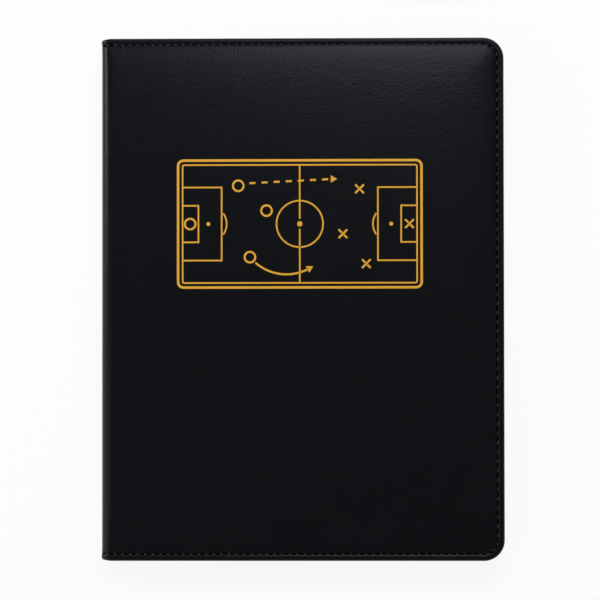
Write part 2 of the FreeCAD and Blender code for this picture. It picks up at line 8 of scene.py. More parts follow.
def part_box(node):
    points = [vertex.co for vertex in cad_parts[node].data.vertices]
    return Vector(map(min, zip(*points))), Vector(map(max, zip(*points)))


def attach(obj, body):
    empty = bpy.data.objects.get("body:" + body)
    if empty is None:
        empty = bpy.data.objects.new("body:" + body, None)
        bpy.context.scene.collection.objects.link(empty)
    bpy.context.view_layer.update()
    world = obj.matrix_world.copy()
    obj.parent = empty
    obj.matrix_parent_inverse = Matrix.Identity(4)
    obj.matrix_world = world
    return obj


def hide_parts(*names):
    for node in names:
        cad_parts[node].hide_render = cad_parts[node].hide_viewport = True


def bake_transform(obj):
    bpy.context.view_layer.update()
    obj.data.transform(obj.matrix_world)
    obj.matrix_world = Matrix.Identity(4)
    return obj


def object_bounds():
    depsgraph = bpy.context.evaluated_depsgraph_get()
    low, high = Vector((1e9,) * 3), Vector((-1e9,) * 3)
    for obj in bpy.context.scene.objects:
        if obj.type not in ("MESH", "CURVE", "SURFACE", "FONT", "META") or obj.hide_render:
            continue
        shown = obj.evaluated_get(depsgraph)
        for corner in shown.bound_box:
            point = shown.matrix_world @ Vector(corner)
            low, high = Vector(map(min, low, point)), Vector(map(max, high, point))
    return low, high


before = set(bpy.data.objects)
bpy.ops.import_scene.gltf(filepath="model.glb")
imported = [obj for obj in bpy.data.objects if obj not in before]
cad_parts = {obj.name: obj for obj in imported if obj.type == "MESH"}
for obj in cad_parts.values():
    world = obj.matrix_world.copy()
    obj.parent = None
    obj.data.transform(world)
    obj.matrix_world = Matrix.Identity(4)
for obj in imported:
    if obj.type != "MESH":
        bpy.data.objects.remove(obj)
CAD_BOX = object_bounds()

# A millimetre, how near points have to be to touch, and the bend from which an edge is a rim
MM = 0.001
TOUCH = 1e-7
SLACK = 1e-6
RIM_ANGLE = math.radians(60)

# The two halves of the folder
FRONT = 1
BACK = -1

# Places that the frame gives, in metres
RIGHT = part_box("front_cover_skin")[1].x
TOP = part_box("front_cover_skin")[1].y
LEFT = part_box("spine_skin")[0].x
THICKNESS = CAD_BOX[1].z
MIDDLE = THICKNESS / 2
HEM_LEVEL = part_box("front_cover_stitching")[0].z
INNER_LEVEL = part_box("front_cover_lining")[0].z
BOARD_MIDDLE = (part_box("pitch_film")[0].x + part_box("pitch_film")[1].x) / 2
PAGE_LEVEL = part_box("pad_sheets")[0].z
BARREL_MIDDLE = (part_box("marker_barrel")[0].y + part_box("marker_barrel")[1].y) / 2

# The padded jacket
SKIN = 0.8 * MM
CORNER = 12.5 * MM
CREASE_RADIUS = 4 * MM
EDGE_ROUND = 1.5 * MM
EDGE_SIDE = 0.4 * MM
TURN_IN = 14 * MM
HEM_FALL = 0.15 * MM
SEAM = 4.1 * MM
GROOVE_DEPTH = 0.14 * MM
GROOVE_HALF_WIDTH = 1.2 * MM
HOLE_DEPTH = 0.32 * MM
HOLE_HALF_WIDTH = 1.15 * MM
# Half width and shift of the faces at the seam that get the needle holes' painted shade, and the slot of
# that finish
HOLE_SHADE_HALF_WIDTH = 0.47 * MM
HOLE_SHADE_SHIFT = 0.15 * MM
HOLE_SHADE_SLOT = 1
HOLE_SHARE = 0.4
HOLE_SLANT = 1.1
CROWN_START = SEAM + 0.6 * MM
CROWN_HEIGHT = THICKNESS - HEM_LEVEL
CROWN_RAMP = 7 * MM
CROWN_SLOPE = 0.085
CROWN_EASE = 0.06
CROWN_CORNER = 3.4 * MM
HEM_FADE = 4 * MM
FLAP_SHARE = 0.08
SPINE_BULGE = 0.3 * MM
SPINE_ROUND = 0.45 * MM
SPINE_DRAW = 0.6 * MM
PAD_FADE = 3 * MM
DRAW_FADE = 2 * MM
END_PITCH = 4.6 * MM
SIDE_PITCH = 5.6 * MM
CORNER_STITCHES = 3
POINTS_PER_STITCH = 6
THREAD_WIDTH = 0.8 * MM
THREAD_HEIGHT = 0.6 * MM
THREAD_LIFT = 0.08 * MM
THREAD_SINK = 0.7
THREAD_TWIST = 0.5 * MM
THREAD_SIDES = 6
THREAD_RINGS = 5
STITCH_SHARE = 0.5
STITCH_SLANT = math.radians(20)

# The flat cut of the jacket: its length is measured round the outside from the middle of the spine
WALL = MIDDLE - (THICKNESS - HEM_LEVEL) - CREASE_RADIUS
BEND = CREASE_RADIUS * math.pi / 2
PANEL_START = WALL + BEND
CREASE_ACROSS = LEFT + CREASE_RADIUS
CREASE_UP = HEM_LEVEL - CREASE_RADIUS
REACH = PANEL_START + RIGHT - CREASE_ACROSS
CORE_LENGTH = REACH - CORNER
CORE_HEIGHT = TOP - CORNER
END_STITCHES = round(CORE_LENGTH / END_PITCH)
SIDE_STITCHES = round(2 * CORE_HEIGHT / SIDE_PITCH)

# The print on the board, the ruling of the pad, the rings on the marker and the ribs of its loop
PITCH_HALF_WIDTH = 88 * MM
PITCH_HALF_LENGTH = 136 * MM
PITCH_LINE = 1.1 * MM
PITCH_SPOT = 1.2 * MM
PENALTY_HALF_WIDTH = 52 * MM
PENALTY_DEPTH = 42.7 * MM
GOAL_HALF_WIDTH = 23.7 * MM
GOAL_DEPTH = 14.2 * MM
SPOT_DEPTH = 28.5 * MM
CIRCLE_RADIUS = 23.7 * MM
CORNER_RADIUS = 3 * MM
MOWN_STRIPE = 17 * MM
RULE_PITCH = 8 * MM
RULE_WIDTH = 0.3 * MM
FIRST_RULE = 112 * MM
MARGIN_PLACE = 88 * MM
MARGIN_HALF_WIDTH = 0.2 * MM
PAGE_DEPTH = 0.04 * MM
# Pitch of the sheets, and the share of each that is darkened on the pad's sides as painted shade between
# them
SHEET_PITCH = 0.25 * MM
SHEET_SHADE = 0.4
BARREL_RING = 22 * MM
BARREL_RING_HALF_WIDTH = 1.1 * MM
ELASTIC_RIB = 1.1 * MM


# Finishes

def srgb(red, green, blue):
    """A colour as it looks on a screen, in 0 to 255, as the linear colour that a shader takes."""
    def linear(part):
        share = part / 255
        return share / 12.92 if share <= 0.04045 else ((share + 0.055) / 1.055) ** 2.4
    return (linear(red), linear(green), linear(blue), 1)


class Socket:
    """One output of a finish's nodes. An expression on it adds Math nodes to the finish."""

    def __init__(self, finish, output):
        self.finish = finish
        self.output = output

    def maths(self, operation, *values):
        """One Math node on these values."""
        return self.finish.node("ShaderNodeMath", {"operation": operation}, dict(enumerate(values)))

    def __add__(self, other):
        return self.maths("ADD", self, other)

    def __radd__(self, other):
        return self.maths("ADD", other, self)

    def __sub__(self, other):
        return self.maths("SUBTRACT", self, other)

    def __rsub__(self, other):
        return self.maths("SUBTRACT", other, self)

    def __mul__(self, other):
        return self.maths("MULTIPLY", self, other)

    def __rmul__(self, other):
        return self.maths("MULTIPLY", other, self)

    def __truediv__(self, other):
        return self.maths("DIVIDE", self, other)

    def __rtruediv__(self, other):
        return self.maths("DIVIDE", other, self)

    def __mod__(self, other):
        return self.maths("FLOORED_MODULO", self, other)

    def __abs__(self):
        return self.maths("ABSOLUTE", self)

    def below(self, limit):
        return self.maths("LESS_THAN", self, limit)

    def above(self, limit):
        return self.maths("GREATER_THAN", self, limit)

    def greater(self, other):
        return self.maths("MAXIMUM", self, other)

    def sine(self):
        return self.maths("SINE", self)

    def root(self):
        return self.maths("SQRT", self)


class Finish:
    """A procedural material: a shader with fixed values, and the nodes that vary it over a surface."""

    def __init__(self, name, **fixed):
        self.material = bpy.data.materials.new(name)
        self.material.use_nodes = True
        self.tree = self.material.node_tree
        self.shader = self.tree.nodes["Principled BSDF"]
        self.set(**fixed)

    def set(self, **values):
        """Give the shader's sockets values or links, named with _ for a space."""
        for name, value in values.items():
            self.feed(self.shader.inputs[name.replace("_", " ")], value)

    def feed(self, entry, value):
        """Link an input to a socket, or give it a plain value."""
        if isinstance(value, Socket):
            self.tree.links.new(value.output, entry)
        else:
            entry.default_value = value

    def node(self, kind, settings=None, sockets=None, output=0):
        """One output of a new node, whose settings are set before its inputs."""
        made = self.tree.nodes.new(kind)
        for name, value in (settings or {}).items():
            setattr(made, name, value)
        for key, value in (sockets or {}).items():
            self.feed(made.inputs[key], value)
        return Socket(self, made.outputs[output])

    def place(self):
        """Where a point lies on the object's own axes."""
        return self.node("ShaderNodeTexCoord", output="Object")

    def axes(self, vector):
        """The three parts of a vector."""
        split = self.node("ShaderNodeSeparateXYZ", sockets={0: vector}).output.node
        return [Socket(self, output) for output in split.outputs]

    def noise(self, size, detail=3, stretch=(1, 1, 1)):
        """Even noise from 0 to 1 with lumps of about this size, longer along a stretched axis."""
        scaled = [1 / (size * share) for share in stretch]
        vector = self.node("ShaderNodeMapping", sockets={"Vector": self.place(), "Scale": scaled})
        return self.node("ShaderNodeTexNoise", sockets={"Vector": vector, "Scale": 1, "Detail": detail})

    def cells(self, size):
        """Distance from the middle of pebble cells of about this size."""
        sockets = {"Vector": self.place(), "Scale": 1 / size, "Smoothness": 0.6}
        return self.node("ShaderNodeTexVoronoi", {"feature": "SMOOTH_F1"}, sockets, "Distance")

    def mix(self, mask, first, second):
        """The first colour where the mask is 0 and the second where it is 1."""
        return self.node("ShaderNodeMix", {"data_type": "RGBA"}, {0: mask, 6: first, 7: second}, 2)

    def coat(self, colour, roughness, relief, depth, strength):
        """The finished material, with this colour and roughness and a fine relief of this depth."""
        sockets = {"Height": relief, "Distance": depth, "Strength": strength}
        bump = self.node("ShaderNodeBump", sockets=sockets)
        self.set(Base_Color=colour, Roughness=roughness, Normal=bump)
        return self.material


def leatherette():
    """Black coated cloth with a fine pebble grain and a soft sheen."""
    finish = Finish("black_leatherette", Specular_IOR_Level=0.3, Specular_Tint=(0.86, 0.92, 1, 1))
    tone = finish.noise(26 * MM, detail=4)
    fine = finish.noise(1.1 * MM, detail=2)
    uneven = finish.noise(2.4 * MM, detail=2)
    grain = finish.cells(0.75 * MM)
    black = finish.mix(tone, srgb(9, 10, 13), srgb(13, 14, 17))
    roughness = 0.19 + 0.04 * tone + 0.03 * fine
    relief = grain * 1.6 + fine * 6 + uneven * 4
    return finish.coat(black, roughness, relief, depth=0.06 * MM, strength=0.25)


def thread():
    """Grey twisted thread."""
    finish = Finish("grey_thread", Specular_IOR_Level=0.4)
    across, along, up = finish.axes(finish.place())
    twist = ((across + along + up) * (2 * math.pi / THREAD_TWIST)).sine()
    grey = finish.mix(finish.noise(9 * MM), srgb(38, 39, 42), srgb(62, 63, 67))
    return finish.coat(grey, 0.6 + 0.05 * twist, twist, depth=0.05 * MM, strength=0.6)


def gold_print():
    """Gold ink, a little uneven."""
    finish = Finish("gold_print", Specular_IOR_Level=0.4)
    patch = finish.noise(2.5 * MM, detail=3)
    gold = finish.mix(patch, srgb(226, 164, 50), srgb(240, 180, 62))
    grain = finish.noise(0.7 * MM, detail=2)
    return finish.coat(gold, 0.42 + 0.1 * patch, grain, depth=0.02 * MM, strength=0.3)


def needle_hole():
    """Painted shade of the needle holes: black without gloss on the faces of the shallow pits, for the dark
    inside a deep hole.
    """
    finish = Finish("needle_hole", Specular_IOR_Level=0, Roughness=1)
    finish.set(Base_Color=finish.mix(finish.noise(1 * MM), srgb(3, 3, 4), srgb(9, 9, 10)))
    return finish.material


def woven(name, dark, light, pitch):
    """Plain woven cloth."""
    finish = Finish(name, Specular_IOR_Level=0.25)
    across, along, up = finish.axes(finish.place())
    turns = 2 * math.pi / pitch
    weave = 0.5 + 0.5 * (across * turns).sine() * ((along + up) * turns).sine()
    tone = finish.noise(18 * MM, detail=4)
    colour = finish.mix(0.65 * weave + 0.35 * tone, dark, light)
    return finish.coat(colour, 0.78 + 0.1 * tone, weave, depth=0.12 * pitch, strength=0.5)


def printed_film():
    """Glossy film printed with mown grass and the lines of a football pitch."""
    finish = Finish("printed_film", Specular_IOR_Level=0.5)
    across, along = finish.axes(finish.place())[:2]
    side = abs(across - BOARD_MIDDLE)
    end = abs(along)

    def line(gap):
        return abs(gap).below(PITCH_LINE / 2)

    def area(half_width, depth):
        return line((side - half_width).greater(abs(end - PITCH_HALF_LENGTH + depth / 2) - depth / 2))

    def distance(aside, ahead):
        return (aside * aside + ahead * ahead).root()

    beside = side - PITCH_HALF_WIDTH
    beyond = end - PITCH_HALF_LENGTH
    within = side.below(PITCH_HALF_WIDTH) * end.below(PITCH_HALF_LENGTH)
    from_middle = distance(side, end)
    from_spot = distance(side, end - (PITCH_HALF_LENGTH - SPOT_DEPTH))
    outside_area = end.below(PITCH_HALF_LENGTH - PENALTY_DEPTH)
    marks = line(beside.greater(beyond))
    for mark in (
        within * line(end),
        area(PENALTY_HALF_WIDTH, PENALTY_DEPTH),
        area(GOAL_HALF_WIDTH, GOAL_DEPTH),
        line(from_middle - CIRCLE_RADIUS),
        from_middle.below(PITCH_SPOT),
        from_spot.below(PITCH_SPOT),
        line(from_spot - CIRCLE_RADIUS) * outside_area,
        line(distance(beside, beyond) - CORNER_RADIUS) * within,
    ):
        marks = marks.greater(mark)
    mown = ((along / MOWN_STRIPE) % 2).above(1)
    blades = finish.noise(0.9 * MM, detail=3, stretch=(1, 3, 1))
    patch = finish.noise(30 * MM, detail=3)
    grass = finish.mix(mown, srgb(45, 124, 58), srgb(61, 145, 70))
    grass = finish.mix(0.25 * blades + 0.2 * patch, grass, srgb(28, 98, 44))
    printed = finish.mix(marks, grass, srgb(238, 242, 238))
    ripple = finish.noise(14 * MM, detail=2)
    return finish.coat(printed, 0.32 + 0.12 * patch, ripple, depth=0.2 * MM, strength=0.15)


def moulded_plastic(name, dark, light, roughness):
    """Moulded plastic, a little uneven in tone and gloss."""
    finish = Finish(name, Specular_IOR_Level=0.5)
    tone = finish.noise(7 * MM, detail=3)
    colour = finish.mix(tone, dark, light)
    grain = finish.noise(0.5 * MM, detail=2)
    return finish.coat(colour, roughness + 0.08 * tone, grain, depth=0.02 * MM, strength=0.3)


def barrel_plastic():
    """White barrel with a dark printed ring near each end."""
    finish = Finish("barrel_plastic", Specular_IOR_Level=0.5)
    along = finish.axes(finish.place())[1]
    tone = finish.noise(9 * MM, detail=3)
    ring = abs(abs(along - BARREL_MIDDLE) - BARREL_RING).below(BARREL_RING_HALF_WIDTH)
    white = finish.mix(tone, srgb(222, 224, 226), srgb(236, 237, 238))
    printed = finish.mix(ring, white, srgb(34, 35, 38))
    grain = finish.noise(0.6 * MM, detail=2)
    return finish.coat(printed, 0.3 + 0.08 * tone, grain, depth=0.02 * MM, strength=0.2)


def writing_paper():
    """White pad paper: ruled on its top sheet, with painted shade between the sheets on its sides."""
    finish = Finish("writing_paper", Specular_IOR_Level=0.2)
    across, along, up = finish.axes(finish.place())
    page = up.below(PAGE_LEVEL + PAGE_DEPTH)
    fibre = finish.noise(3 * MM, detail=4)
    rule = ((along / RULE_PITCH) % 1).below(RULE_WIDTH / RULE_PITCH) * along.below(FIRST_RULE)
    margin = abs(across - MARGIN_PLACE).below(MARGIN_HALF_WIDTH)
    # Painted shade: on the pad's sides a darker band in each sheet's pitch stands for the shade between the
    # sheets
    edge = ((up / SHEET_PITCH) % 1).below(SHEET_SHADE) * (1 - page)
    paper = finish.mix(fibre, srgb(236, 235, 229), srgb(246, 245, 240))
    paper = finish.mix(page * rule, paper, srgb(150, 178, 208))
    paper = finish.mix(page * margin, paper, srgb(214, 122, 118))
    paper = finish.mix(edge, paper, srgb(202, 200, 193))
    grain = finish.noise(0.5 * MM, detail=3)
    return finish.coat(paper, 0.8 + 0.1 * fibre, grain, depth=0.03 * MM, strength=0.4)


def pressed_card(name, dark, light):
    """Pressed card with loose fibres."""
    finish = Finish(name, Specular_IOR_Level=0.2)
    fibre = finish.noise(1.6 * MM, detail=4, stretch=(1, 4, 1))
    patch = finish.noise(20 * MM, detail=3)
    colour = finish.mix(0.6 * fibre + 0.4 * patch, dark, light)
    return finish.coat(colour, 0.82 + 0.1 * fibre, fibre, depth=0.06 * MM, strength=0.5)


def felt(name, dark, light):
    """Pressed felt with short hairs."""
    finish = Finish(name, Specular_IOR_Level=0.1)
    hair = finish.noise(0.5 * MM, detail=5)
    colour = finish.mix(hair, dark, light)
    return finish.coat(colour, 0.9 + 0.08 * hair, hair, depth=0.25 * MM, strength=0.8)


def elastic():
    """Black elastic, ribbed across its width."""
    finish = Finish("elastic", Specular_IOR_Level=0.25)
    along = finish.axes(finish.place())[1]
    rib = 0.5 + 0.5 * (along * (2 * math.pi / ELASTIC_RIB)).sine()
    black = finish.mix(rib, srgb(13, 13, 15), srgb(38, 38, 41))
    return finish.coat(black, 0.7 + 0.12 * rib, rib, depth=0.2 * MM, strength=0.7)


def rolled_steel():
    """Bare steel with the fine lines of its rolling."""
    finish = Finish("bare_steel", Metallic=1)
    grain = finish.noise(0.6 * MM, detail=4, stretch=(1, 30, 1))
    grey = finish.mix(grain, srgb(150, 152, 156), srgb(184, 186, 190))
    return finish.coat(grey, 0.32 + 0.14 * grain, grain, depth=0.02 * MM, strength=0.3)


def studio_white():
    """Matt white paper that shows as white behind the object and keeps its shadow."""
    finish = Finish("studio_white", Base_Color=srgb(250, 250, 250), Roughness=1, Specular_IOR_Level=0)
    seen = [finish.node("ShaderNodeLightPath", output=f"Is {kind} Ray")
            for kind in ("Camera", "Glossy", "Transmission")]
    glow = finish.node("ShaderNodeEmission", sockets={"Color": srgb(255, 255, 255), "Strength": 1})
    lit = Socket(finish, finish.shader.outputs[0])
    shown = finish.node("ShaderNodeMixShader", sockets={
        0: seen[0].greater(seen[1]).greater(seen[2]) * PAPER_GLOW, 1: lit, 2: glow})
    finish.feed(finish.tree.nodes["Material Output"].inputs["Surface"], shown)
    return finish.material


# Tools of the bench

def piece(name, mesh, material, sharp=None):
    """A bmesh as a named object at the origin, smooth but for edges sharper than the given degrees."""
    data = bpy.data.meshes.new(name)
    mesh.to_mesh(data)
    mesh.free()
    data.materials.append(material)
    data.shade_smooth()
    if sharp:
        data.set_sharp_from_angle(angle=math.radians(sharp))
    made = bpy.data.objects.new(name, data)
    bpy.context.scene.collection.objects.link(made)
    return made


def smooth_step(share):
    """A share from 0 to 1 that starts and ends level."""
    share = min(max(share, 0), 1)
    return share * share * (3 - 2 * share)


def plate(mesh, corners):
    """A flat face through these corners."""
    mesh.faces.new([mesh.verts.new((*corner, 0)) for corner in corners])


def rounded(mesh, parts, offset, segments, affect="EDGES"):
    """Round these edges, or these corners of a flat face where affect is VERTICES."""
    bmesh.ops.bevel(mesh, geom=parts, offset=offset, segments=segments,
                    profile=0.5, affect=affect, material=-1)


def inset_face(mesh, face, width):
    """Draw a flat face in by this width, leaving a ring round it."""
    bmesh.ops.inset_region(mesh, faces=[face], thickness=width, use_boundary=True, use_even_offset=True)


def verts_of(geometry):
    """The vertices among what an operator made."""
    return [part for part in geometry if isinstance(part, bmesh.types.BMVert)]


def spun_round(mesh, middle, axis, steps):
    """Spin a section once round an axis into a surface that points outwards."""
    bmesh.ops.spin(mesh, geom=mesh.verts[:] + mesh.edges[:], cent=middle, axis=axis,
                   angle=2 * math.pi, steps=steps, use_merge=True)
    bmesh.ops.remove_doubles(mesh, verts=mesh.verts, dist=SLACK)
    bmesh.ops.recalc_face_normals(mesh, faces=mesh.faces)


def turned_over(mesh):
    """Mirror a bmesh of the front cover into the back cover."""
    bmesh.ops.scale(mesh, vec=(1, 1, -1), verts=mesh.verts)
    bmesh.ops.translate(mesh, vec=(0, 0, THICKNESS), verts=mesh.verts)
    bmesh.ops.reverse_faces(mesh, faces=mesh.faces)


# The jacket: one sheet of leatherette folded round boards and wadding, sewn along its edge

EDGE_ARC = EDGE_ROUND * math.pi / 2
EDGE_WRAP = 2 * EDGE_ARC + EDGE_SIDE


def edge_distance(length, height):
    """Distance of a point of the flat cut inside the finished outline, its core point and the way out.

    The core is the outline drawn in by the corners' radius.
    """
    core = Vector((min(max(length, -CORE_LENGTH), CORE_LENGTH),
                   min(max(height, -CORE_HEIGHT), CORE_HEIGHT)))
    outward = Vector((length, height)) - core
    if outward.length > 0:
        return CORNER - outward.length, core, outward.normalized()
    inside = min(CORE_LENGTH - abs(length), CORE_HEIGHT - abs(height))
    return CORNER + inside, core, outward


def hole_share(length, height, inside):
    """1 at a needle hole of the seam, falling to 0 beside it. The holes slant."""
    slant = HOLE_SLANT * (inside - SEAM)
    if abs(height) >= CORE_HEIGHT and abs(length) <= CORE_LENGTH:
        count = (length - math.copysign(slant, height)) / CORE_LENGTH * END_STITCHES
    elif abs(height) <= CORE_HEIGHT:
        count = (height + CORE_HEIGHT + slant) / (2 * CORE_HEIGHT) * SIDE_STITCHES
    else:
        angle = math.atan2(abs(height) - CORE_HEIGHT, abs(length) - CORE_LENGTH)
        count = angle / (math.pi / 2) * CORNER_STITCHES
    return max(0, 1 - abs(count - round(count)) / HOLE_SHARE)


def crown(length, height):
    """Height of the padding over the hem: an even ramp inside the seam that eases into the level panel."""
    to_end = (TOP - abs(height)) / CROWN_CORNER
    to_side = (REACH - length) / CROWN_CORNER
    nearest = -CROWN_CORNER * math.log(math.exp(-to_end) + math.exp(-to_side))
    ramp = min(max(nearest - CROWN_START, 0), CROWN_RAMP)
    beyond = max(nearest - CROWN_START - CROWN_RAMP, 0)
    rest = CROWN_HEIGHT - CROWN_RAMP * CROWN_SLOPE
    padding = smooth_step((length - WALL) / (BEND + PAD_FADE))
    return padding * (CROWN_SLOPE * ramp + rest * (1 - math.exp(-beyond * CROWN_EASE / rest)))


def hem_roll(length, inside):
    """Height of the hem's roll, which falls towards the seam and stands out a little round the spine."""
    fall = HEM_FALL * smooth_step((inside - EDGE_ROUND) / (SEAM - EDGE_ROUND))
    round_spine = 1 - smooth_step((length - WALL) / BEND)
    hem = (SPINE_BULGE * round_spine - fall) * (1 - smooth_step((inside - SEAM) / HEM_FADE))
    return hem + SPINE_ROUND * round_spine


def seam_groove(length, height, inside):
    """Depth of the sewn line, with a pit at each needle hole."""
    away = min(abs(inside - SEAM) / GROOVE_HALF_WIDTH, 1)
    groove = GROOVE_DEPTH * (0.5 + 0.5 * math.cos(math.pi * away))
    pit = max(0, 1 - abs(inside - SEAM) / HOLE_HALF_WIDTH)
    return groove + HOLE_DEPTH * pit * (hole_share(length, height, inside) if pit else 0)


def drawn_in(length, height, inside):
    """How far the hem is drawn in at the ends of the spine, where it is pulled round the bend."""
    round_spine = 1 - smooth_step((length - WALL) / (BEND + DRAW_FADE))
    near_edge = 1 - smooth_step(inside / (2 * SEAM))
    return math.copysign(SPINE_DRAW * round_spine * near_edge, height)


def form_edge(point):
    """Turn a point of the flat cut over the board's edge, and swell the padding: (length, height, rise).

    The flap inside the edge is cut short along the spine.
    """
    inside, core, outward = edge_distance(point.x, point.y)
    rise = hem_roll(point.x, inside)
    drawn = drawn_in(point.x, point.y, inside)
    if inside >= EDGE_ROUND:
        rise += crown(point.x, point.y) - seam_groove(point.x, point.y, inside)
        return Vector((point.x, point.y - drawn, rise))
    over = EDGE_ROUND - inside
    if over < EDGE_ARC:
        angle = over / EDGE_ROUND
        inset = EDGE_ROUND * (1 - math.sin(angle))
        drop = EDGE_ROUND * (1 - math.cos(angle))
    elif over < EDGE_ARC + EDGE_SIDE:
        inset = 0
        drop = EDGE_ROUND + over - EDGE_ARC
    else:
        angle = min((over - EDGE_ARC - EDGE_SIDE) / EDGE_ROUND, math.pi / 2)
        flap = FLAP_SHARE + (1 - FLAP_SHARE) * smooth_step((point.x - PANEL_START) / CREASE_RADIUS)
        inset = EDGE_ROUND * (1 - math.cos(angle)) + flap * max(0, over - EDGE_WRAP)
        drop = EDGE_ROUND * (1 + math.sin(angle)) + EDGE_SIDE
    turned = core + outward * (CORNER - inset)
    return Vector((turned.x, turned.y - drawn, rise - drop))


def fold(point):
    """Wrap (length, height, rise) from the flat round the front crease: spine wall, bend, then panel."""
    if point.x >= PANEL_START:
        return Vector((CREASE_ACROSS + point.x - PANEL_START, point.y, HEM_LEVEL + point.z))
    if point.x <= WALL:
        return Vector((LEFT - point.z, point.y, MIDDLE + point.x))
    angle = (point.x - WALL) / CREASE_RADIUS
    radius = CREASE_RADIUS + point.z
    return Vector((CREASE_ACROSS - radius * math.cos(angle), point.y, CREASE_UP + radius * math.sin(angle)))


def fold_half(mesh, side):
    """Fold a flat bmesh into the front half of the jacket, or mirror it into the back half."""
    for vert in mesh.verts:
        vert.co = fold(vert.co)
    if side == BACK:
        turned_over(mesh)


# Rings of the flat cut, by their distance inside the finished outline, and the cuts between them
ARC_STEPS = 4
INNER_RINGS = [EDGE_ROUND - EDGE_WRAP + EDGE_ARC * step / ARC_STEPS for step in range(ARC_STEPS + 1)]
OUTER_RINGS = [EDGE_ROUND - EDGE_ARC + EDGE_ARC * step / ARC_STEPS for step in range(ARC_STEPS + 1)]
HEM_PLACES = (-1.8, -1.15, -0.75, -0.45, -0.15, 0.15, 0.45, 0.75, 1.05, 1.35, 1.6)
HEM_RINGS = [SEAM + place * MM for place in HEM_PLACES]
FINE_RING = HEM_RINGS[-1]
CROWN_RINGS = [SEAM + place * MM for place in (2.2, 3, 4, 5.2, 6.4, 7.4)]
CUT_EDGE = EDGE_ROUND - EDGE_WRAP - (TURN_IN - EDGE_ROUND)
MARGIN_CUTS = [place * MM for place in (12.5, 15, 18, 22, 27, 33)]
BEND_MARGIN_CUTS = [4 * MM, 9 * MM]
PANEL_STEP = 14 * MM
BEND_STEP = 0.45 * MM
BEND_END = PANEL_START + 8 * BEND_STEP
RUN_SLACK = 0.1 * MM


def cut_lines(low, high, low_margins, high_margins):
    """Places of the panel's cuts between two edges, closer together within the margins."""
    places = [low + margin for margin in low_margins] + [high - margin for margin in high_margins]
    start = low + max(low_margins)
    end = high - max(high_margins)
    count = round((end - start) / PANEL_STEP)
    return sorted(places + [start + (end - start) * step / count for step in range(1, count)])


def cut_across(mesh, place, normal, faces):
    """Cut these faces along a plane."""
    geometry = set(faces)
    for face in faces:
        geometry.update(face.edges)
        geometry.update(face.verts)
    bmesh.ops.bisect_plane(mesh, geom=list(geometry), dist=TOUCH, plane_co=place, plane_no=normal)


def inner_faces(mesh):
    """Faces of the flat cut that lie inside its finely divided rings."""
    return [face for face in mesh.faces
            if min(edge_distance(*vert.co.xy)[0] for vert in face.verts) > FINE_RING - SLACK]


def jacket_half(side):
    """One half of the jacket: a panel, its bend and half of the spine."""
    mesh = bmesh.new()
    length = REACH - CUT_EDGE
    height = TOP - CUT_EDGE
    plate(mesh, [(-length, -height), (length, -height), (length, height), (-length, height)])
    rounded(mesh, mesh.verts[:], CORNER - CUT_EDGE, POINTS_PER_STITCH * CORNER_STITCHES, "VERTICES")
    field = mesh.faces[:][0]
    before = CUT_EDGE
    for ring in INNER_RINGS + OUTER_RINGS + HEM_RINGS + CROWN_RINGS:
        inset_face(mesh, field, ring - before)
        before = ring
    for run, count in ((2 * CORE_LENGTH, 2 * END_STITCHES), (2 * CORE_HEIGHT, SIDE_STITCHES)):
        edges = [edge for edge in mesh.edges if abs(edge.calc_length() - run) < RUN_SLACK
                 and max(edge_distance(*vert.co.xy)[0] for vert in edge.verts) < FINE_RING + SLACK]
        bmesh.ops.subdivide_edges(mesh, edges=edges, cuts=POINTS_PER_STITCH * count - 1)
    bmesh.ops.bisect_plane(mesh, geom=mesh.verts[:] + mesh.edges[:] + mesh.faces[:], dist=TOUCH,
                           plane_co=(0, 0, 0), plane_no=(-1, 0, 0), clear_outer=True)
    for step in range(1, math.ceil((BEND_END - WALL) / BEND_STEP)):
        cut_across(mesh, (WALL + step * BEND_STEP, 0, 0), (1, 0, 0), mesh.faces[:])
    for place in cut_lines(BEND_END, REACH, BEND_MARGIN_CUTS, MARGIN_CUTS):
        cut_across(mesh, (place, 0, 0), (1, 0, 0), inner_faces(mesh))
    for place in cut_lines(-TOP, TOP, MARGIN_CUTS, MARGIN_CUTS):
        cut_across(mesh, (0, place, 0), (0, 1, 0), inner_faces(mesh))
    # The pits of the needle holes get a black finish without gloss: painted shade for the dark inside a deep
    # hole
    for face in mesh.faces:
        middle = face.calc_center_median()
        inside = edge_distance(*middle.xy)[0]
        if abs(inside - SEAM - HOLE_SHADE_SHIFT) < HOLE_SHADE_HALF_WIDTH and hole_share(middle.x, middle.y, inside) > 0:
            face.material_index = HOLE_SHADE_SLOT
    for vert in mesh.verts:
        vert.co = form_edge(vert.co)
    fold_half(mesh, side)
    return mesh


def seam_stitches():
    """Middle, heading and length of each stitch of one half's seam. The headings go round clockwise."""
    end_run = CORE_LENGTH / END_STITCHES
    side_run = 2 * CORE_HEIGHT / SIDE_STITCHES
    radius = CORNER - SEAM
    turn = math.pi / 2 / CORNER_STITCHES
    for stitch in range(END_STITCHES):
        yield Vector(((stitch + 0.5) * end_run, TOP - SEAM)), 0, end_run
    for end in (1, -1):
        for stitch in range(CORNER_STITCHES):
            angle = (stitch + 0.5) * turn if end < 0 else math.pi / 2 - (stitch + 0.5) * turn
            across = CORE_LENGTH + radius * math.cos(angle)
            along = CORE_HEIGHT + radius * math.sin(angle)
            yield Vector((across, end * along)), end * angle - math.pi / 2, radius * turn
    for stitch in range(SIDE_STITCHES):
        yield Vector((REACH - SEAM, CORE_HEIGHT - (stitch + 0.5) * side_run)), -math.pi / 2, side_run
    for stitch in range(END_STITCHES):
        yield Vector(((stitch + 0.5) * end_run, SEAM - TOP)), math.pi, end_run


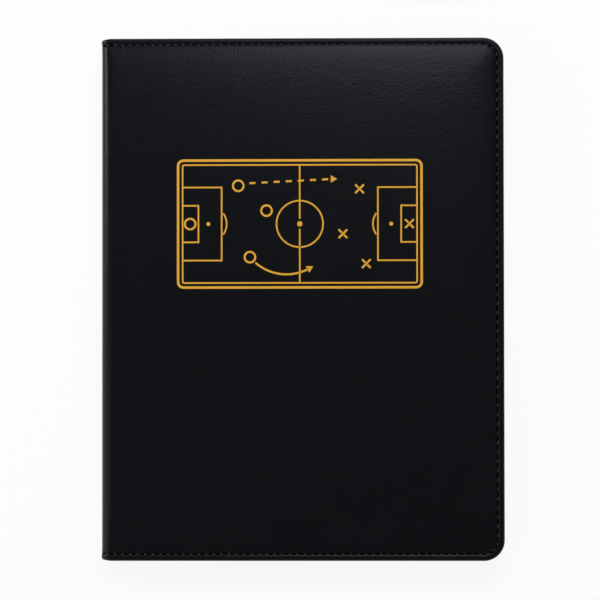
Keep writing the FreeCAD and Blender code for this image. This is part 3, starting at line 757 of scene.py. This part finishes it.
def add_stitch(mesh, middle, level, heading, length, height=THREAD_HEIGHT):
    """A stitch of thread lying at this level, turned a little inwards from its seam's heading."""
    turn = Matrix.Rotation(heading - STITCH_SLANT, 4, "Z")
    shape = Matrix.Diagonal((length * STITCH_SHARE / 2, THREAD_WIDTH / 2, height / 2, 1))
    place = Matrix.Translation((*middle, level))
    bmesh.ops.create_uvsphere(mesh, u_segments=THREAD_SIDES, v_segments=THREAD_RINGS, radius=1,
                              matrix=place @ turn @ shape)


def jacket_stitches(side):
    """Stitches lying in the groove of one half's seam."""
    mesh = bmesh.new()
    level = THREAD_LIFT - HEM_FALL - THREAD_SINK * GROOVE_DEPTH
    for middle, heading, length in seam_stitches():
        add_stitch(mesh, middle, level, heading, length)
    fold_half(mesh, side)
    return mesh


def blend_half(made, side):
    """Bake a piece of the jacket's place into its mesh. The ends of its crease, mirrored for the back, are
    worked out but not used.
    """
    low = Vector((LEFT, 0, CREASE_UP))
    high = Vector((CREASE_ACROSS, 0, HEM_LEVEL))
    if side == FRONT:
        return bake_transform(made)
    low.z, high.z = THICKNESS - low.z, THICKNESS - high.z
    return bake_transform(made)


def jacket(name, side, material, hole, *nodes):
    """One half of the jacket as a piece, with the thickness of its skin and painted shade in its needle
    holes.
    """
    made = piece(name, jacket_half(side), material)
    made.data.materials.append(hole)
    wall = made.modifiers.new("skin", "SOLIDIFY")
    wall.thickness = SKIN
    wall.offset = -1
    blend_half(made, side)
    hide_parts(*nodes)


def stitching(name, side, material, node):
    """The row of stitches round one half of the jacket."""
    made = blend_half(piece(name, jacket_stitches(side), material), side)
    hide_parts(node)


# Flat shapes that are laid together and raised into sheets

RIM_STEPS = 2
PANEL_CORNER_STEPS = 6
DISC_POINTS = 40
ARC_DEGREES = 6
FEWEST_ARC_STEPS = 4


def lay(mesh, shape, place=(0, 0, 0)):
    """Add another bmesh's shape to this one at a place, and free it."""
    data = bpy.data.meshes.new("shape")
    bmesh.ops.translate(shape, vec=place, verts=shape.verts)
    shape.to_mesh(data)
    shape.free()
    mesh.from_mesh(data)
    bpy.data.meshes.remove(data)


def raised(mesh, low, high, edge=0):
    """Raise flat faces into a sheet between two levels, with its rims rounded."""
    bmesh.ops.translate(mesh, vec=(0, 0, low), verts=mesh.verts)
    upper = bmesh.ops.extrude_face_region(mesh, geom=mesh.faces[:])["geom"]
    bmesh.ops.translate(mesh, vec=(0, 0, high - low), verts=verts_of(upper))
    bmesh.ops.recalc_face_normals(mesh, faces=mesh.faces)
    if edge:
        rims = [rim for rim in mesh.edges if abs(rim.verts[0].co.z - rim.verts[1].co.z) < TOUCH
                and rim.calc_face_angle(0) > RIM_ANGLE]
        rounded(mesh, rims, edge, RIM_STEPS)
    return mesh


def flat_panel(low, high, corner=0, square_left=False):
    """A flat panel between two opposite corners, with its corners rounded."""
    mesh = bmesh.new()
    plate(mesh, [low, (high[0], low[1]), high, (low[0], high[1])])
    if corner:
        verts = [vert for vert in mesh.verts if not square_left or vert.co.x > low[0]]
        rounded(mesh, verts, corner, PANEL_CORNER_STEPS, "VERTICES")
    return mesh


def flat_frame(low, high, corner, width):
    """A flat frame of this width, along the edge of a panel."""
    mesh = flat_panel(low, high, corner)
    middle = mesh.faces[:][0]
    inset_face(mesh, middle, width)
    bmesh.ops.delete(mesh, geom=[middle], context="FACES_ONLY")
    return mesh


def flat_disc(radius, points=DISC_POINTS, turn=0):
    """A disc, or with few points a shape of even sides, turned by an angle."""
    mesh = bmesh.new()
    bmesh.ops.create_circle(mesh, cap_ends=True, segments=points, radius=radius,
                            matrix=Matrix.Rotation(turn, 4, "Z"))
    return mesh


def flat_arc(radius, width, start, sweep):
    """Part of a ring, from a start angle through a sweep, both in degrees."""
    mesh = bmesh.new()
    turn = Vector((math.cos(math.radians(start)), math.sin(math.radians(start)), 0))
    ends = [mesh.verts.new(turn * (radius + share * width)) for share in (-0.5, 0.5)]
    across = mesh.edges.new(ends)
    steps = max(FEWEST_ARC_STEPS, round(abs(sweep) / ARC_DEGREES))
    bmesh.ops.spin(mesh, geom=[*ends, across], cent=(0, 0, 0), axis=(0, 0, 1),
                   angle=math.radians(sweep), steps=steps, use_merge=abs(sweep) == 360)
    return mesh


def flat_bar(start, end, width):
    """A straight flat bar of this width."""
    mesh = bmesh.new()
    run = Vector(end) - Vector(start)
    middle = Matrix.Translation((*(Vector(start) + run / 2), 0))
    turn = Matrix.Rotation(math.atan2(run.y, run.x), 4, "Z")
    bmesh.ops.create_grid(mesh, x_segments=1, y_segments=1, size=0.5,
                          matrix=middle @ turn @ Matrix.Diagonal((run.length, width, 1, 1)))
    return mesh


# The print on the cover: a pitch with a few moves drawn on it

PRINT_MIDDLE = Vector((-1.9, 45.2, 0)) * MM
PRINT_HALF_WIDTH = 74 * MM
PRINT_HALF_HEIGHT = 39 * MM
PRINT_CORNER = 4 * MM
PRINT_INSET = 3 * MM
INNER_CORNER = 1.5 * MM
BOLD = 1.5 * MM
FINE = 0.95 * MM
STROKE = 1.2 * MM
PRINT_LIFT = 0.04 * MM
PRINT_CUT = 8 * MM
PRINT_CIRCLE = 14 * MM
KICK_OFF_SPOT = 1.6 * MM
HALFWAY_GAP = 3 * MM
PRINT_AREAS = ((24 * MM, 22 * MM), (10 * MM, 11 * MM))
PRINT_SPOT = 16 * MM
PRINT_ARC = 11 * MM
SPOT_RADIUS = 1.2 * MM
RING_RADIUS = 3.2 * MM
CROSS_ARM = 2.6 * MM
ARROW_HEAD = 2.6 * MM
DASH_ENDS = (0.1, 0.6)

# The moves that are drawn, in millimetres from the middle of the print
RINGS = [(-66, 0), (-37, 23), (-30, -20), (-20, 8)]
CROSSES = [(66, 0), (36, 21), (26, -6), (40, -24)]
RUN_MIDDLE = (-8, -2)
RUN_RADIUS = 28.4
RUN_ANGLES = (229, 70)
PASS_START = (-31, 24.5)
PASS_END = (20, 27)
PASS_DASHES = 7


def pitch_diagram(mesh):
    """Lines of the pitch: a double border, the halfway line and circle, and the areas at each end."""
    corner = Vector((PRINT_HALF_WIDTH, PRINT_HALF_HEIGHT))
    lay(mesh, flat_frame(-corner, corner, PRINT_CORNER, BOLD))
    goal_line = PRINT_HALF_WIDTH - PRINT_INSET
    side_line = PRINT_HALF_HEIGHT - PRINT_INSET
    lay(mesh, flat_frame((-goal_line, -side_line), (goal_line, side_line), INNER_CORNER, FINE))
    lay(mesh, flat_disc(KICK_OFF_SPOT))
    lay(mesh, flat_arc(PRINT_CIRCLE, FINE, 0, 360))
    for end in (1, -1):
        lay(mesh, flat_bar((0, end * HALFWAY_GAP), (0, end * (side_line - FINE)), FINE))
        for depth, half in PRINT_AREAS:
            near = end * (goal_line - FINE)
            far = end * (goal_line - depth)
            lay(mesh, flat_bar((far, -half - FINE / 2), (far, half + FINE / 2), FINE))
            for side in (1, -1):
                lay(mesh, flat_bar((near, side * half), (far + end * FINE / 2, side * half), FINE))
        spot = (end * (goal_line - PRINT_SPOT), 0, 0)
        lay(mesh, flat_disc(SPOT_RADIUS), spot)
        half_sweep = math.degrees(math.acos((PRINT_AREAS[0][0] - PRINT_SPOT + FINE) / PRINT_ARC))
        lay(mesh, flat_arc(PRINT_ARC, FINE, (180 if end > 0 else 0) - half_sweep, 2 * half_sweep), spot)


def drawn_moves(mesh):
    """Rings and crosses for the players, a curved run with its arrow head, and a dashed pass."""
    for across, along in RINGS:
        lay(mesh, flat_arc(RING_RADIUS, STROKE, 0, 360), (across * MM, along * MM, 0))
    for across, along in CROSSES:
        place = (across * MM, along * MM, 0)
        lay(mesh, flat_bar((-CROSS_ARM, -CROSS_ARM), (CROSS_ARM, CROSS_ARM), STROKE), place)
        for way in (1, -1):
            near = way * STROKE / 2
            far = way * CROSS_ARM
            lay(mesh, flat_bar((near, -near), (far, -far), STROKE), place)
    middle = (RUN_MIDDLE[0] * MM, RUN_MIDDLE[1] * MM, 0)
    lay(mesh, flat_arc(RUN_RADIUS * MM, STROKE, *RUN_ANGLES), middle)
    angle = math.radians(sum(RUN_ANGLES))
    run_end = Vector(middle) + RUN_RADIUS * MM * Vector((math.cos(angle), math.sin(angle), 0))
    pass_end = Vector((*PASS_END, 0)) * MM
    for place, heading in ((run_end, angle + math.pi / 2), (pass_end, 0)):
        lay(mesh, flat_disc(ARROW_HEAD, points=3, turn=heading - math.pi / 2), place)
    start = Vector(PASS_START) * MM
    run = Vector(PASS_END) * MM - start
    for dash in range(PASS_DASHES):
        ends = [start + run * ((dash + share) / PASS_DASHES) for share in DASH_ENDS]
        lay(mesh, flat_bar(*ends, STROKE))


def cover_print(material):
    """Gold lines lying on the padded panel, in runs that are short enough to follow it."""
    mesh = bmesh.new()
    pitch_diagram(mesh)
    drawn_moves(mesh)
    ways = ((PRINT_HALF_WIDTH, Vector((1, 0, 0))), (PRINT_HALF_HEIGHT, Vector((0, 1, 0))))
    for reach, along in ways:
        cuts = math.ceil(reach / PRINT_CUT)
        for cut in range(1 - cuts, cuts):
            cut_across(mesh, along * (reach * cut / cuts), along, mesh.faces[:])
    bmesh.ops.translate(mesh, vec=PRINT_MIDDLE, verts=mesh.verts)
    raised(mesh, -PRINT_LIFT, PRINT_LIFT)
    for vert in mesh.verts:
        vert.co.z += HEM_LEVEL + crown(vert.co.x - CREASE_ACROSS + PANEL_START, vert.co.y)
    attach(piece("cover_print", mesh, material, sharp=30), "front")


# Linings, and the strips that cover the creases inside

LINING_SHEET = 0.5 * MM
LINING_CORNER = CORNER - 2 * MM
LINING_EDGE = 0.12 * MM
LINING_SEAM_START = PANEL_START + 5 * MM
LINING_SEAM_LIFT = 0.1 * MM
LINING_THREAD = 0.4 * MM
GUTTER_TUCK = LEFT + 11 * MM
GUTTER_FACE = LEFT + 3.8 * MM
GUTTER_BEND = 2.2 * MM
GUTTER_STEPS = 10
GUTTER_EASE = 1 * MM
STIFFENER_INSET = 2 * MM
STIFFENER_EDGE = 0.3 * MM


def lining(name, body, side, material):
    """The lining cloth of a cover, laid on its board."""
    low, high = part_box(f"{body}_cover_lining")
    mesh = flat_panel(low.xy, high.xy, LINING_CORNER, square_left=True)
    raised(mesh, INNER_LEVEL, INNER_LEVEL + LINING_SHEET, LINING_EDGE)
    if side == BACK:
        turned_over(mesh)
    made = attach(piece(name, mesh, material, sharp=40), body)
    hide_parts(f"{body}_cover_lining")


def lining_seam(name, body, side, material):
    """The jacket's seam where it comes through the lining."""
    mesh = bmesh.new()
    level = INNER_LEVEL - HEM_LEVEL + LINING_SEAM_LIFT
    for middle, heading, length in seam_stitches():
        if middle.x > LINING_SEAM_START:
            add_stitch(mesh, middle, level, heading, length, LINING_THREAD)
    fold_half(mesh, side)
    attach(piece(name, mesh, material), body)


def gutter(name, side, material):
    """Half of the cloth strip inside the spine, tucked under the lining of its cover."""
    mesh = bmesh.new()
    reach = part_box("front_cover_lining")[1].y
    tuck = INNER_LEVEL + 1.5 * LINING_SHEET
    corners = [(GUTTER_TUCK, tuck), (GUTTER_FACE, tuck), (GUTTER_FACE, MIDDLE)]
    verts = [mesh.verts.new((across, -reach, up)) for across, up in corners]
    edges = [mesh.edges.new(pair) for pair in zip(verts, verts[1:])]
    far = bmesh.ops.extrude_edge_only(mesh, edges=edges)["geom"]
    bmesh.ops.translate(mesh, vec=(0, 2 * reach, 0), verts=verts_of(far))
    bend = [edge for edge in mesh.edges if len(edge.link_faces) == 2]
    rounded(mesh, bend, GUTTER_BEND, GUTTER_STEPS)
    bmesh.ops.recalc_face_normals(mesh, faces=mesh.faces)
    width = sum(face.calc_area() for face in mesh.faces) / (2 * reach)
    low = Vector((GUTTER_FACE, 0, tuck - GUTTER_BEND - GUTTER_EASE))
    high = Vector((GUTTER_FACE + GUTTER_BEND, 0, tuck))
    if side == BACK:
        turned_over(mesh)
        low, high = (Vector((place.x, 0, THICKNESS - place.z)) for place in (high, low))
    made = piece(name, mesh, material)
    cloth = made.modifiers.new("cloth", "SOLIDIFY")
    cloth.thickness = LINING_SHEET
    cloth.offset = 0
    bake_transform(made)
    if side == FRONT:
        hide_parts("spine_lining")


def spine_stiffener(material):
    """The spine's board, cut short so that the jacket closes over its ends."""
    low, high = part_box("spine_board")
    inset = Vector((0, STIFFENER_INSET))
    mesh = raised(flat_panel(low.xy + inset, high.xy - inset), low.z, high.z, STIFFENER_EDGE)
    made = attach(piece("spine_stiffener", mesh, material, sharp=40), "spine")
    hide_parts("spine_board")


# The magnetic board, its border and the figures on the magnets

SMALL_PITCH = 3.2 * MM
SMALL_THREAD = 0.3 * MM
BORDER_LAP = 2.5 * MM
BORDER_CORNER = 4 * MM
BORDER_EDGE = 0.3 * MM
BORDER_JOIN = 0.3 * MM
BORDER_SEAM = 2 * MM
STEEL_GAP = 0.2 * MM
TEAM_NUMBERS = range(1, 12)
FIGURE_SIZE = 7.6 * MM
FIGURE_HEIGHT = 0.1 * MM
DISH_DEPTH = 0.3 * MM
BALL_PATCH = 1.7 * MM
BALL_PATCH_SIDES = 5
BALL_LINE = 0.3 * MM
BALL_LINE_END = 2.6 * MM
SIDE_PATCH = 0.9 * MM
SIDE_PATCH_PLACE = 3.2 * MM


def sew_row(mesh, start, end, level):
    """A straight row of small stitches lying at this level."""
    run = Vector(end) - Vector(start)
    count = round(run.length / SMALL_PITCH)
    heading = math.atan2(run.y, run.x)
    row = bmesh.new()
    for stitch in range(count):
        middle = Vector(start) + run * ((stitch + 0.5) / count)
        add_stitch(row, middle, level, heading, run.length / count, SMALL_THREAD)
    lay(mesh, row)


def board_border(material, thread_finish):
    """Leatherette border that laps over the film and is sewn down round it."""
    low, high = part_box("board_border")
    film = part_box("pitch_film")[1].z
    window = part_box("pitch_film")[0].x - low.x + BORDER_LAP
    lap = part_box("steel_sheet")[0].x - low.x - STEEL_GAP
    mesh = raised(flat_frame(low.xy, high.xy, BORDER_CORNER, window), film, high.z, BORDER_EDGE)
    lay(mesh, raised(flat_frame(low.xy, high.xy, BORDER_CORNER, lap), low.z, film + BORDER_JOIN))
    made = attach(piece("film_border", mesh, material, sharp=50), "back")
    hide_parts("board_border")
    rows = bmesh.new()
    left, right = low.x + BORDER_SEAM, high.x - BORDER_SEAM
    foot, head = low.y + BORDER_SEAM, high.y - BORDER_SEAM
    corners = [(left, foot), (right, foot), (right, head), (left, head)]
    for start, end in zip(corners, corners[1:] + corners[:1]):
        sew_row(rows, start, end, high.z)
    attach(piece("border_seam", rows, thread_finish), "back")


def figures(text):
    """Printed figures centred on the origin."""
    curve = bpy.data.curves.new("figures", "FONT")
    curve.body = text
    curve.size = FIGURE_SIZE
    curve.extrude = FIGURE_HEIGHT / 2
    curve.resolution_u = 3
    maker = bpy.data.objects.new("figures", curve)
    data = bpy.data.meshes.new_from_object(maker)
    mesh = bmesh.new()
    mesh.from_mesh(data)
    bpy.data.objects.remove(maker)
    bpy.data.curves.remove(curve)
    bpy.data.meshes.remove(data)
    bmesh.ops.remove_doubles(mesh, verts=mesh.verts, dist=TOUCH)
    bmesh.ops.recalc_face_normals(mesh, faces=mesh.faces)
    places = [vert.co for vert in mesh.verts]
    middle = Vector([(min(parts) + max(parts)) / 2 for parts in zip(*places)])
    bmesh.ops.translate(mesh, vec=-middle, verts=mesh.verts)
    return mesh


def on_dish(mesh, node):
    """Move a print from the origin onto the dish of a magnet."""
    low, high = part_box(node)
    place = ((low.x + high.x) / 2, (low.y + high.y) / 2, high.z - DISH_DEPTH)
    bmesh.ops.translate(mesh, vec=place, verts=mesh.verts)


def magnet_figures(team, material):
    """The number on each magnet of a team."""
    for number in TEAM_NUMBERS:
        mesh = figures(str(number))
        on_dish(mesh, f"{team}_magnet_{number:02d}")
        made = piece(f"{team}_figures_{number:02d}", mesh, material, sharp=30)
        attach(made, f"{team}_{number:02d}")


def ball_patches(material):
    """Five-sided patches printed on the ball magnet."""
    mesh = bmesh.new()
    lay(mesh, flat_disc(BALL_PATCH, BALL_PATCH_SIDES))
    for corner in range(BALL_PATCH_SIDES):
        angle = math.radians(90 + 360 / BALL_PATCH_SIDES * corner)
        way = Vector((math.cos(angle), math.sin(angle)))
        lay(mesh, flat_bar(way * BALL_PATCH, way * BALL_LINE_END, BALL_LINE))
        patch = flat_disc(SIDE_PATCH, BALL_PATCH_SIDES, angle + math.pi / 2)
        lay(mesh, patch, (*(way * SIDE_PATCH_PLACE), 0))
    raised(mesh, -FIGURE_HEIGHT / 2, FIGURE_HEIGHT / 2)
    on_dish(mesh, "ball_magnet")
    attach(piece("ball_patches", mesh, material, sharp=30), "ball")


# The pad's pocket and the loop for the marker

POCKET_WALL = 0.8 * MM
POCKET_CORNER = 1.2 * MM
POCKET_EDGE = 0.15 * MM
POCKET_RIM = 1.5 * MM
POCKET_RIM_CORNER = 0.4 * MM
POCKET_SEAM_SINK = 0.07 * MM
MOUTH_SEAM = 4 * MM
LOOP_WALL = 0.7 * MM
LOOP_STEPS = 40
LOOP_EDGE = 0.2 * MM
TAIL_CORNER = 0.6 * MM
TAIL_EDGE = 0.15 * MM
TAIL_SEAMS = (1.2 * MM, 3.4 * MM)
TAIL_SEAM_END = 1 * MM


def pocket(material, thread_finish):
    """A leatherette pocket sewn to the lining on three sides and open towards the pad's head."""
    low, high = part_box("pad_pocket")
    mesh = raised(flat_panel(low.xy, high.xy, POCKET_CORNER), low.z, low.z + POCKET_WALL, POCKET_EDGE)
    rims = [((low.x, low.y), (low.x + POCKET_RIM, high.y)),
            ((high.x - POCKET_RIM, low.y), (high.x, high.y)),
            ((low.x, low.y), (high.x, low.y + POCKET_RIM))]
    for first, second in rims:
        rim = flat_panel(first, second, POCKET_RIM_CORNER)
        lay(mesh, raised(rim, low.z + POCKET_WALL / 2, high.z))
    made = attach(piece("pocket", mesh, material, sharp=50), "front")
    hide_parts("pad_pocket")
    rows = bmesh.new()
    left, right = low.x + POCKET_RIM / 2, high.x - POCKET_RIM / 2
    foot, head = low.y + POCKET_RIM / 2, high.y - POCKET_RIM / 2
    mouth = high.y - MOUTH_SEAM
    for start, end in (
        ((left, head), (left, foot)),
        ((left, foot), (right, foot)),
        ((right, foot), (right, head)),
        ((left, mouth), (right, mouth)),
    ):
        sew_row(rows, start, end, low.z + POCKET_SEAM_SINK)
    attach(piece("pocket_seam", rows, thread_finish), "front")


def pen_loop(material, thread_finish):
    """A band of elastic round the marker, with its tail sewn to the lining."""
    low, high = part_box("pen_loop")
    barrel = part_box("marker_barrel")
    middle = (barrel[0] + barrel[1]) / 2
    outer = middle.z - low.z
    inner = outer - LOOP_WALL
    mesh = bmesh.new()
    section = [(inner, low.y), (outer, low.y), (outer, high.y), (inner, high.y)]
    verts = [mesh.verts.new((middle.x + reach, along, middle.z)) for reach, along in section]
    for pair in zip(verts, verts[1:] + verts[:1]):
        mesh.edges.new(pair)
    spun_round(mesh, (middle.x, 0, middle.z), (0, 1, 0), LOOP_STEPS)
    rims = [rim for rim in mesh.edges if rim.calc_face_angle(0) > RIM_ANGLE]
    rounded(mesh, rims, LOOP_EDGE, RIM_STEPS)
    tail = flat_panel((middle.x, low.y), high.xy, TAIL_CORNER, square_left=True)
    lay(mesh, raised(tail, low.z, low.z + LOOP_WALL, TAIL_EDGE))
    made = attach(piece("pen_loop_elastic", mesh, material, sharp=50), "back")
    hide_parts("pen_loop")
    rows = bmesh.new()
    for seam in TAIL_SEAMS:
        start = (high.x - seam, low.y + TAIL_SEAM_END)
        end = (high.x - seam, high.y - TAIL_SEAM_END)
        sew_row(rows, start, end, low.z + LOOP_WALL)
    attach(piece("loop_seam", rows, thread_finish), "back")


def dress(material, *nodes):
    """Give CAD nodes this finish."""
    for node in nodes:
        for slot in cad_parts[node].material_slots:
            slot.material = material


# Studio

PAPER_GLOW = 0.9
FLOOR_RADIUS = 3.0
COVE_RADIUS = 0.8
COVE_STEPS = 12
FLOOR_STEPS = 64
WALL_HEIGHT = 1.6
AIR_LIGHT = 0.14
PHOTO_WIDTH = 361.1 * MM
CAMERA_DISTANCE = 1.6
CAMERA_TARGET = Vector((-1.83 * MM, -0.6 * MM, HEM_LEVEL))
CAMERA_TURN = (0.0205, 0.019, -0.0012)

# Each lamp's name, place, target, width, height and power, and whether it shows in gloss
LAMPS = (
    ("top_light", (0.125, 0.72, 1.15), (0.05, 0.05, 0), 0.44, 0.8, 2.15, True),
    ("head_light", (0.3, 1.6, 2.2), (0, 0.05, 0.02), 1.6, 1.2, 36, False),
    ("spine_light", (-0.8, 0.38, 0.54), (-0.12, 0.1, 0.02), 0.56, 0.4, 2.7, True),
    ("spine_fill", (-0.75, -0.32, 0.7), (-0.12, -0.15, 0.02), 0.6, 0.6, 0.8, True),
)


def studio_floor():
    """A round paper floor that curves up into a low wall."""
    mesh = bmesh.new()
    cove = FLOOR_RADIUS - COVE_RADIUS
    corners = [(0, 0), (cove, 0)]
    for step in range(1, COVE_STEPS + 1):
        angle = step / COVE_STEPS * math.pi / 2
        corners.append((cove + COVE_RADIUS * math.sin(angle), COVE_RADIUS * (1 - math.cos(angle))))
    corners.append((FLOOR_RADIUS, WALL_HEIGHT))
    verts = [mesh.verts.new((across, 0, up)) for across, up in corners]
    for pair in zip(verts, verts[1:]):
        mesh.edges.new(pair)
    spun_round(mesh, (0, 0, 0), (0, 0, 1), FLOOR_STEPS)
    piece("studio_floor", mesh, studio_white())


def soft_box(name, place, target, width, height, power, glossy):
    """A rectangular lamp. One that isn't glossy lights a surface without showing in its gloss."""
    lamp = bpy.data.lights.new(name, "AREA")
    lamp.shape = "RECTANGLE"
    lamp.size = width
    lamp.size_y = height
    lamp.energy = power
    made = bpy.data.objects.new(name, lamp)
    bpy.context.scene.collection.objects.link(made)
    made.visible_glossy = glossy
    made.location = place
    made.rotation_euler = (Vector(target) - Vector(place)).to_track_quat("-Z", "Y").to_euler()


def studio():
    """The paper floor, the lamps, the light of the air, and the camera at the photo's place."""
    studio_floor()
    for lamp in LAMPS:
        soft_box(*lamp)
    world = bpy.data.worlds.new("studio_air")
    bpy.context.scene.world = world
    world.use_nodes = True
    air = world.node_tree.nodes["Background"]
    air.inputs["Color"].default_value = srgb(255, 255, 255)
    air.inputs["Strength"].default_value = AIR_LIGHT
    lens = bpy.data.cameras.new("camera")
    camera = bpy.data.objects.new("camera", lens)
    bpy.context.scene.collection.objects.link(camera)
    camera.rotation_euler = CAMERA_TURN
    camera.location = CAMERA_TARGET + camera.rotation_euler.to_matrix() @ Vector((0, 0, CAMERA_DISTANCE))
    lens.lens = lens.sensor_width * CAMERA_DISTANCE / PHOTO_WIDTH
    bpy.context.scene.camera = camera
    bpy.context.scene.view_settings.view_transform = "Standard"


# The pieces with their finishes, and the stage
LEATHERETTE = leatherette()
THREAD = thread()
# The black finish that paints the shade in the needle holes
HOLE_PAINTED_SHADE = needle_hole()

jacket("front_jacket", FRONT, LEATHERETTE, HOLE_PAINTED_SHADE, "front_cover_skin", "front_cover_foam", "spine_skin")
jacket("back_jacket", BACK, LEATHERETTE, HOLE_PAINTED_SHADE, "back_cover_skin", "back_cover_foam")
stitching("front_seam", FRONT, THREAD, "front_cover_stitching")
stitching("back_seam", BACK, THREAD, "back_cover_stitching")
cover_print(gold_print())

LINING = woven("black_lining", srgb(14, 14, 16), srgb(30, 30, 33), pitch=0.8 * MM)
for body, side in (("front", FRONT), ("back", BACK)):
    lining(f"{body}_lining_cloth", body, side, LINING)
    lining_seam(f"{body}_lining_seam", body, side, THREAD)
    gutter(f"{body}_gutter", side, LINING)
board_border(LEATHERETTE, THREAD)
pocket(LEATHERETTE, THREAD)
pen_loop(elastic(), THREAD)

WHITE_PLASTIC = moulded_plastic("white_plastic", srgb(226, 226, 222), srgb(240, 240, 237), roughness=0.4)
BLACK_PLASTIC = moulded_plastic("black_plastic", srgb(20, 20, 22), srgb(32, 32, 34), roughness=0.36)
FIGURES = moulded_plastic("figure_print", srgb(228, 229, 230), srgb(242, 243, 244), roughness=0.5)
BLUE_PLASTIC = moulded_plastic("blue_plastic", srgb(18, 72, 168), srgb(28, 88, 188), roughness=0.34)
RED_PLASTIC = moulded_plastic("red_plastic", srgb(176, 24, 30), srgb(198, 36, 40), roughness=0.34)
for team, plastic in (("home", BLUE_PLASTIC), ("away", RED_PLASTIC)):
    magnet_figures(team, FIGURES)
    dress(plastic, *(f"{team}_magnet_{number:02d}" for number in TEAM_NUMBERS))
ball_patches(BLACK_PLASTIC)
dress(WHITE_PLASTIC, "ball_magnet")
CHIPBOARD = pressed_card("chipboard", srgb(118, 110, 100), srgb(146, 138, 126))
spine_stiffener(CHIPBOARD)
dress(CHIPBOARD, "front_cover_board", "back_cover_board")
dress(rolled_steel(), "steel_sheet")
dress(printed_film(), "pitch_film")
dress(pressed_card("grey_card", srgb(150, 147, 140), srgb(172, 169, 162)), "pad_backing")
dress(writing_paper(), "pad_sheets")
dress(woven("black_tape", srgb(24, 24, 27), srgb(48, 48, 52), pitch=0.9 * MM), "pad_head_tape")
dress(barrel_plastic(), "marker_barrel")
dress(BLACK_PLASTIC, "marker_cap", "marker_end_plug")
FELT = felt("marker_felt", srgb(18, 18, 20), srgb(46, 46, 50))
dress(FELT, "marker_nib", "marker_ink_core", "marker_eraser")
studio()
